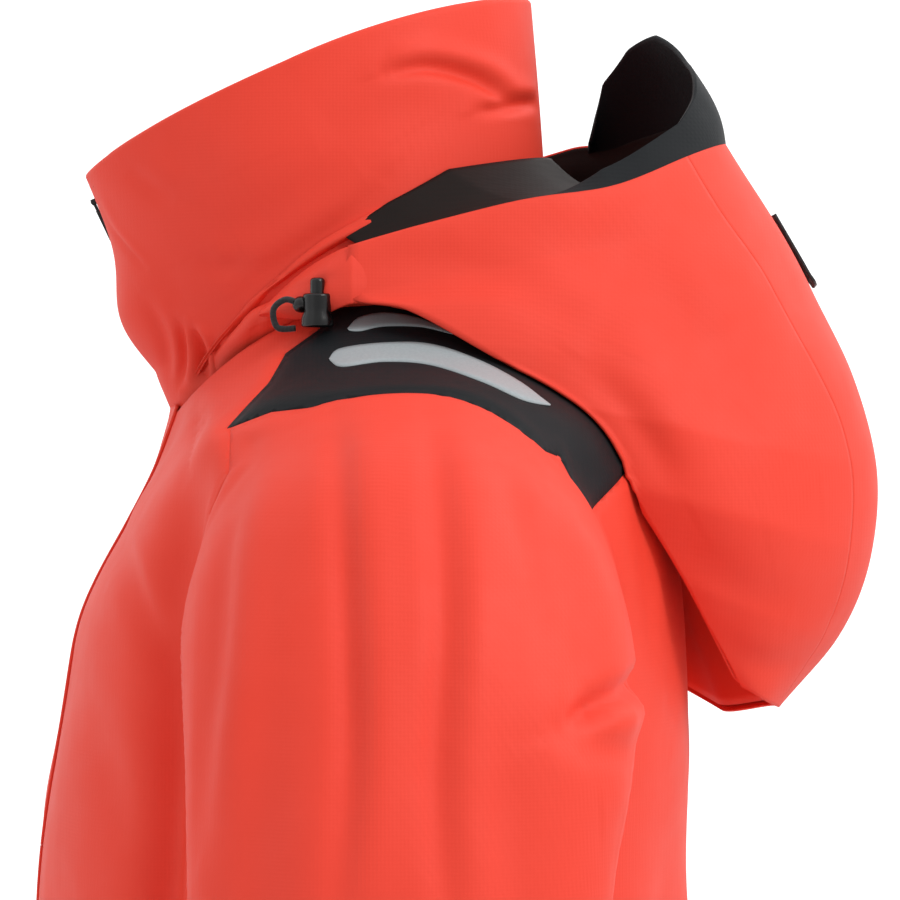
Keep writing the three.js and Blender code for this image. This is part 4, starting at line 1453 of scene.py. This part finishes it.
def tape_strip(name, path, aside, side, near, far, millimetres):
    columns = 10
    across = [mix(near, far, i / columns) for i in range(columns + 1)]
    points = [row + side * aside * reach for row in path for reach in across]
    piece = make_mesh(name, points, quads(columns, len(path) - 1))
    thicken(piece, millimetres, 0.0)
    return piece


ZIP_PATH = zip_path()
X_AXIS = np.array([1.0, 0, 0])
for side, name in SIDES:
    tape = tape_strip("main_zip_tape_" + name, ZIP_PATH[::3], X_AXIS, side, 2.0, 22.0, 0.9)
    row = teeth("zip_teeth", ZIP_PATH + side * X_AXIS * 1.3, X_AXIS, -side, 2.0, 2.4, 2.6)
    piece = join_into(tape, row)
    finish_piece(piece, "shell", ZIP_BLACK, ["main_zip_" + name])


# %% Pockets
def pocket_point(across, out, down, side):
    spot = POCKET_TOP + across * POCKET_ACROSS + out * POCKET_OUT + down * POCKET_DOWN
    return spot * [side, 1, 1]


def pocket_plate(name, side, across, down, out, nu, nv=60):
    """A strip beside the pocket's opening; out(u) is its height."""
    return patch(
        name, lambda u, v: pocket_point(mix(*across, u), out(u), mix(*down, v), side), nu, nv
    )


def welt_height(u):
    return 1.4 + 2.4 * math.sin(math.pi * min(1, u * 1.6)) * (1 - u)


for side, name in SIDES:
    spine = np.array([pocket_point(0, -5.4, d, side) for d in np.arange(0, 163, 1.3)])
    aside = POCKET_ACROSS * [side, 1, 1]
    zip_pieces = []
    for edge in (1, -1):
        zip_pieces.append(tape_strip("pocket_tape", spine[::3], aside, edge, 1.6, 9.5, 0.8))
        middle = spine + edge * aside * 1.2
        zip_pieces.append(teeth("pocket_teeth", middle, aside, -edge, 1.8, 2.0, 2.2))
    piece = join_into(*zip_pieces)
    piece.name = "pocket_zip_tape_" + name
    finish_piece(piece, "shell", ZIP_BLACK, ["pocket_zip_" + name])

    down = (-4, POCKET_LENGTH + 4)
    welt = pocket_plate("pocket_welt_cloth_" + name, side, (4.6, 20), down, welt_height, 8)
    cloth(welt, BODY_MIDDLE, 1.4)
    finish_piece(welt, "shell", CORAL, ["pocket_welt_" + name])
    bag = pocket_plate(
        "pocket_bag_cloth_" + name, side, (-70, 14), (-20, 190), lambda u: -13, 24
    )
    facing_out(bag, BODY_MIDDLE)
    set_points(bag, inside_shell(points_of(bag), 11.0))
    thicken(bag, 1.0, 0.0)
    finish_piece(bag, "shell", LINING, ["pocket_bag_" + name])

# %% [markdown]
# ## Linings, cuffs and the loop at the neck
# Inside, a loose lining follows the shell a little way in. The wrists end in a soft stretch cuff,
# gathered by its elastic, and a strap on the outside closes them.

# %% Body lining and hem facing
def inside_body(u, v, high, low, inward):
    t = mix(high, low, v)
    edge = -np.degrees(np.arccos(np.clip((27 / SIDE_RAIL(t)[:, 0]) ** 1.25, 0, 1)))
    theta = mix(edge, 180 - edge, u)
    points = body(theta, t)
    s, c = sin_cos(theta)
    sag = inward + 2.0 * np.sin(7 * t + 0.05 * theta) + 8 * ease(inward - s * 10, 12, 20)
    return points - np.stack([c * sag, s * sag, sag * 0.6 * ease(3 - t, 0.5, 2.0)], -1)


body_inside = grid("body_lining_cloth", lambda u, v: inside_body(u, v, 0.15, 7.7, 14), 160, 110)
facing_out(body_inside, BODY_MIDDLE)


def armhole_field(spots):
    x, y, z = spots.T
    return np.maximum(np.hypot(y - 15, z - ARMHOLE_Z) - 106, 150 - np.abs(x))


cut_along(body_inside, armhole_field)
with mesh_edit(body_inside) as bm:
    middles = np.array([list(face.calc_center_median()) for face in bm.faces]) / MM
    gone = [face for face, f in zip(list(bm.faces), armhole_field(middles)) if f < 0]
    bmesh.ops.delete(bm, geom=gone, context="FACES")
thicken(body_inside, 1.0)
finish_piece(body_inside, "shell", LINING, ["body_lining"])

facing = grid("hem_facing_cloth", lambda u, v: inside_body(u, v, 7.7, 7.97, 8.5), 160, 10)
cloth(facing, (0, 0, -700), 1.2)
finish_piece(facing, "shell", CHARCOAL, ["hem_facing"])


# %% Sleeve linings and cuffs
def sleeve_inside(side, start, stop, inward, gather):
    def surface(u, v):
        points = sleeve(360 * u, mix(start, stop, v))
        return pushed_out(points, 360 * u, -inward - gather(u, v)) * [side, 1, 1]

    return surface


def wrist_gather(u, v):
    return 1.2 * np.sin(2 * np.pi * 46 * u) + 7 * ease(v, 0.35, 1.0)


def lining_sag(u, v):
    return 1.5 * np.sin(30 * v + 9 * u)


def sleeve_tube(name, surface, nu, nv, millimetres):
    piece = grid(name, surface, nu, nv, closed=True)
    turn_outward(piece)
    thicken(piece, millimetres)
    return piece


for side, name in SIDES:
    surface = sleeve_inside(side, -0.7, 6.75, 14.0, lining_sag)
    inside = sleeve_tube("sleeve_lining_cloth_" + name, surface, 96, 110, 1.0)
    finish_piece(inside, None, LINING, ["sleeve_lining_" + name])
    blend_arm(inside)
    surface = sleeve_inside(side, 6.6, 7.44, 6.0, wrist_gather)
    cuff = sleeve_tube("inner_cuff_stretch_" + name, surface, 276, 30, 1.4)
    finish_piece(cuff, "sleeve_" + name, RUBBER, ["inner_cuff_" + name])


# %% Strap down the back of the hood
def tab_surface(u, v):
    level = mix(0.15, 0.285, v)
    spot = hood(90 + 0 * v, level)
    lift = 4.0 + 0.4 * np.cos(2 * np.pi * u) + 0.8 * ease(v, 0.82, 1)
    narrow = np.sqrt(np.clip(1 - np.clip((v - 0.9) / 0.1, 0, 1) ** 2, 0.12, 1))
    x = mix(-12, 12, u) * narrow
    return np.stack([x, spot[:, 1] + 0.87 * lift, spot[:, 2] + 0.49 * lift], -1)


tab = cloth(grid("hood_volume_strap", tab_surface, 24, 48), HOOD_MIDDLE, 1.8)
finish_piece(tab, "hood_tab", WEBBING, ["hood_volume_tab"])

# %% [markdown]
# ## Sliders, pulls and the other small hard parts
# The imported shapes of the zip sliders, their pulls, the wrist straps and the neck loop are right,
# so they stay. Each gets its doubled corners merged and its sharp edges rounded by modifiers, as a
# moulded part has them, and a material of its own.

# %% Round the edges of what stays
def keep_node(name, material, rounding_mm):
    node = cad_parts[name]
    weld = node.modifiers.new("weld", "WELD")
    weld.merge_threshold = 0.00001
    bevel = node.modifiers.new("rounded", "BEVEL")
    bevel.width = rounding_mm * MM
    bevel.segments = 3
    bevel.limit_method = "ANGLE"
    bevel.angle_limit = math.radians(40)
    if not node.material_slots:
        node.data.materials.append(material)
    for slot in node.material_slots:
        slot.material = material
    print(name, "kept, edges rounded", rounding_mm, "mm")


keep_node("main_zip_slider", ZIP_BLACK, 0.3)
keep_node("main_zip_pull", ZIP_BLACK, 0.4)
for _, name in SIDES:
    keep_node("pocket_slider_" + name, ZIP_BLACK, 0.3)
    keep_node("pocket_pull_" + name, ZIP_BLACK, 0.4)
    keep_node("cuff_tab_" + name, RUBBER, 0.7)
keep_node("hanger_loop", WEBBING, 0.4)

# %% [markdown]
# ## Cord locks
# A cord lock is a short moulded barrel with a sprung plunger standing out of its top; pressing the
# plunger lets the cord slide. Each is turned from a cylinder: the barrel's rims are bevelled, its
# top is inset and pushed down to make the bore, and a waist is drawn in for the fingers.

# %% Barrel and plunger
def add_cylinder(name, radius, height, centre, sides=48):
    deselect()
    bpy.ops.mesh.primitive_cylinder_add(
        vertices=sides,
        radius=radius * MM,
        depth=height * MM,
        location=tuple(np.array(centre, float) * MM),
    )
    thing = bpy.context.object
    thing.name = name
    bpy.ops.object.transform_apply(location=True, rotation=True, scale=True)
    return thing


def choose_faces(thing, test):
    """In edit mode, selects the faces whose centre passes a test in millimetres."""
    bpy.ops.mesh.select_mode(type="FACE")
    bpy.ops.mesh.select_all(action="DESELECT")
    bm = bmesh.from_edit_mesh(thing.data)
    for face in bm.faces:
        face.select = bool(test(face.calc_center_median() / MM, face.normal))
    bmesh.update_edit_mesh(thing.data)


WAIST = 7.5
BORE_R, BORE_DEPTH = 4.2, 15.5
EYE_R = 4.2
PLUNGER_R = 3.7


def cord_lock(side, name):
    foot = LOCK * [side, 1, 1]
    barrel = add_cylinder(
        "cordlock_barrel_" + name, LOCK_R, LOCK_HEIGHT, foot + [0, 0, LOCK_HEIGHT / 2]
    )
    bpy.ops.object.mode_set(mode="EDIT")
    top = foot[2] + LOCK_HEIGHT
    for level in (WAIST - 3, WAIST, WAIST + 3):
        bpy.ops.mesh.select_all(action="SELECT")
        bpy.ops.mesh.bisect(plane_co=(0, 0, (foot[2] + level) * MM), plane_no=(0, 0, 1))
        if level == WAIST:
            bpy.ops.transform.resize(value=(0.86, 0.86, 1), center_override=tuple(foot * MM))
    choose_faces(barrel, lambda centre, normal: centre.z > top - 0.1)
    bpy.ops.transform.resize(value=(0.9, 0.9, 1), center_override=tuple(foot * MM))
    bpy.ops.mesh.inset(thickness=(0.9 * LOCK_R - BORE_R) * MM)
    bpy.ops.mesh.extrude_region_move(TRANSFORM_OT_translate={"value": (0, 0, -BORE_DEPTH * MM)})
    bpy.ops.object.mode_set(mode="OBJECT")
    apply_modifier(
        barrel, "BEVEL", width=1.3 * MM, segments=5, limit_method="ANGLE", angle_limit=0.5
    )
    bpy.ops.mesh.primitive_uv_sphere_add(
        segments=32,
        ring_count=20,
        radius=EYE_R * MM,
        location=tuple((foot + [-side * 1.0, -LOCK_R - 0.2, 11.5]) * MM),
    )
    eye = bpy.context.object
    bpy.ops.object.transform_apply(location=True, rotation=True, scale=True)
    join_into(barrel, eye)
    barrel.data.shade_smooth()
    apply_modifier(barrel, "WEIGHTED_NORMAL", keep_sharp=True)
    finish_piece(barrel, "shell", GLOSS_BLACK, ["cordlock_" + name])
    low, high = (np.array(corner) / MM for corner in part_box("cordlock_plunger_" + name))
    middle = (low + high) / 2
    plunger = add_cylinder("cordlock_button_" + name, PLUNGER_R, high[2] - low[2], middle, 36)
    apply_modifier(
        plunger, "BEVEL", width=1.9 * MM, segments=6, limit_method="ANGLE", angle_limit=0.6
    )
    finish_piece(plunger, "plunger_" + name, GLOSS_BLACK, ["cordlock_plunger_" + name])


for side, name in SIDES:
    cord_lock(side, name)
    finish_piece(drawcords[name], "shell", CORD_SHEATH, ["hood_drawcord_" + name])

# %% [markdown]
# ## Cut sizes
# Paired sheets of cloth and strips of tape are listed in a table with the size each is cut to: the
# width and length of the smallest rectangle of cloth it comes from, and its own flat area in square
# metres. Nothing further is done with the table.

PAIRED_SIZES = {
    "collar_outer": (0.27, 0.22, 0.050, "stretched", "collar_fleece"),
    "front_panel": (0.36, 0.72, 0.208, "hung", "yoke"),
    "hood_side": (0.26, 0.33, 0.043, "draped", "hood_nape_cloth"),
    "hood_cheek": (0.065, 0.038, 0.0021, "stretched", "hood_roll_cloth"),
    "inner_cuff_stretch": (0.36, 0.06, 0.0195, "gathered", "sleeve_lining_cloth"),
    "main_zip_tape": (0.024, 0.82, 0.0180, "hung", "front_panel"),
    "neck_lining": (0.16, 0.06, 0.0069, "draped", "hood_roll_cloth"),
    "pocket_bag_cloth": (0.086, 0.215, 0.0172, "hung", "front_panel"),
    "pocket_welt_cloth": (0.0175, 0.172, 0.0029, "laid", "front_panel"),
    "pocket_zip_tape": (0.022, 0.164, 0.0032, "stretched", "front_panel"),
    "reflector_lower": (0.032, 0.132, 0.0031, "laid", "yoke"),
    "reflector_upper": (0.014, 0.062, 0.0007, "laid", "yoke"),
    "sleeve_lining_cloth": (0.48, 0.60, 0.205, "hung", "body_lining_cloth"),
    "sleeve_outer": (0.34, 0.66, 0.153, "hung", "yoke"),
    "sleeve_under": (0.26, 0.56, 0.098, "hung", "front_panel"),
    "yoke": (0.22, 0.26, 0.035, "stretched", "hood_roll_cloth"),
}


for stem, (*cut, hangs_from) in PAIRED_SIZES.items():
    for _, side in SIDES:
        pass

# %% Sizes
final_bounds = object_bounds()
for k, axis in enumerate("xyz"):
    low, high = (1000 * (final_bounds[end][k] - CAD_BOUNDS[end][k]) for end in (0, 1))
    print(axis, "low differs", round(low, 1), "mm, high differs", round(high, 1), "mm")
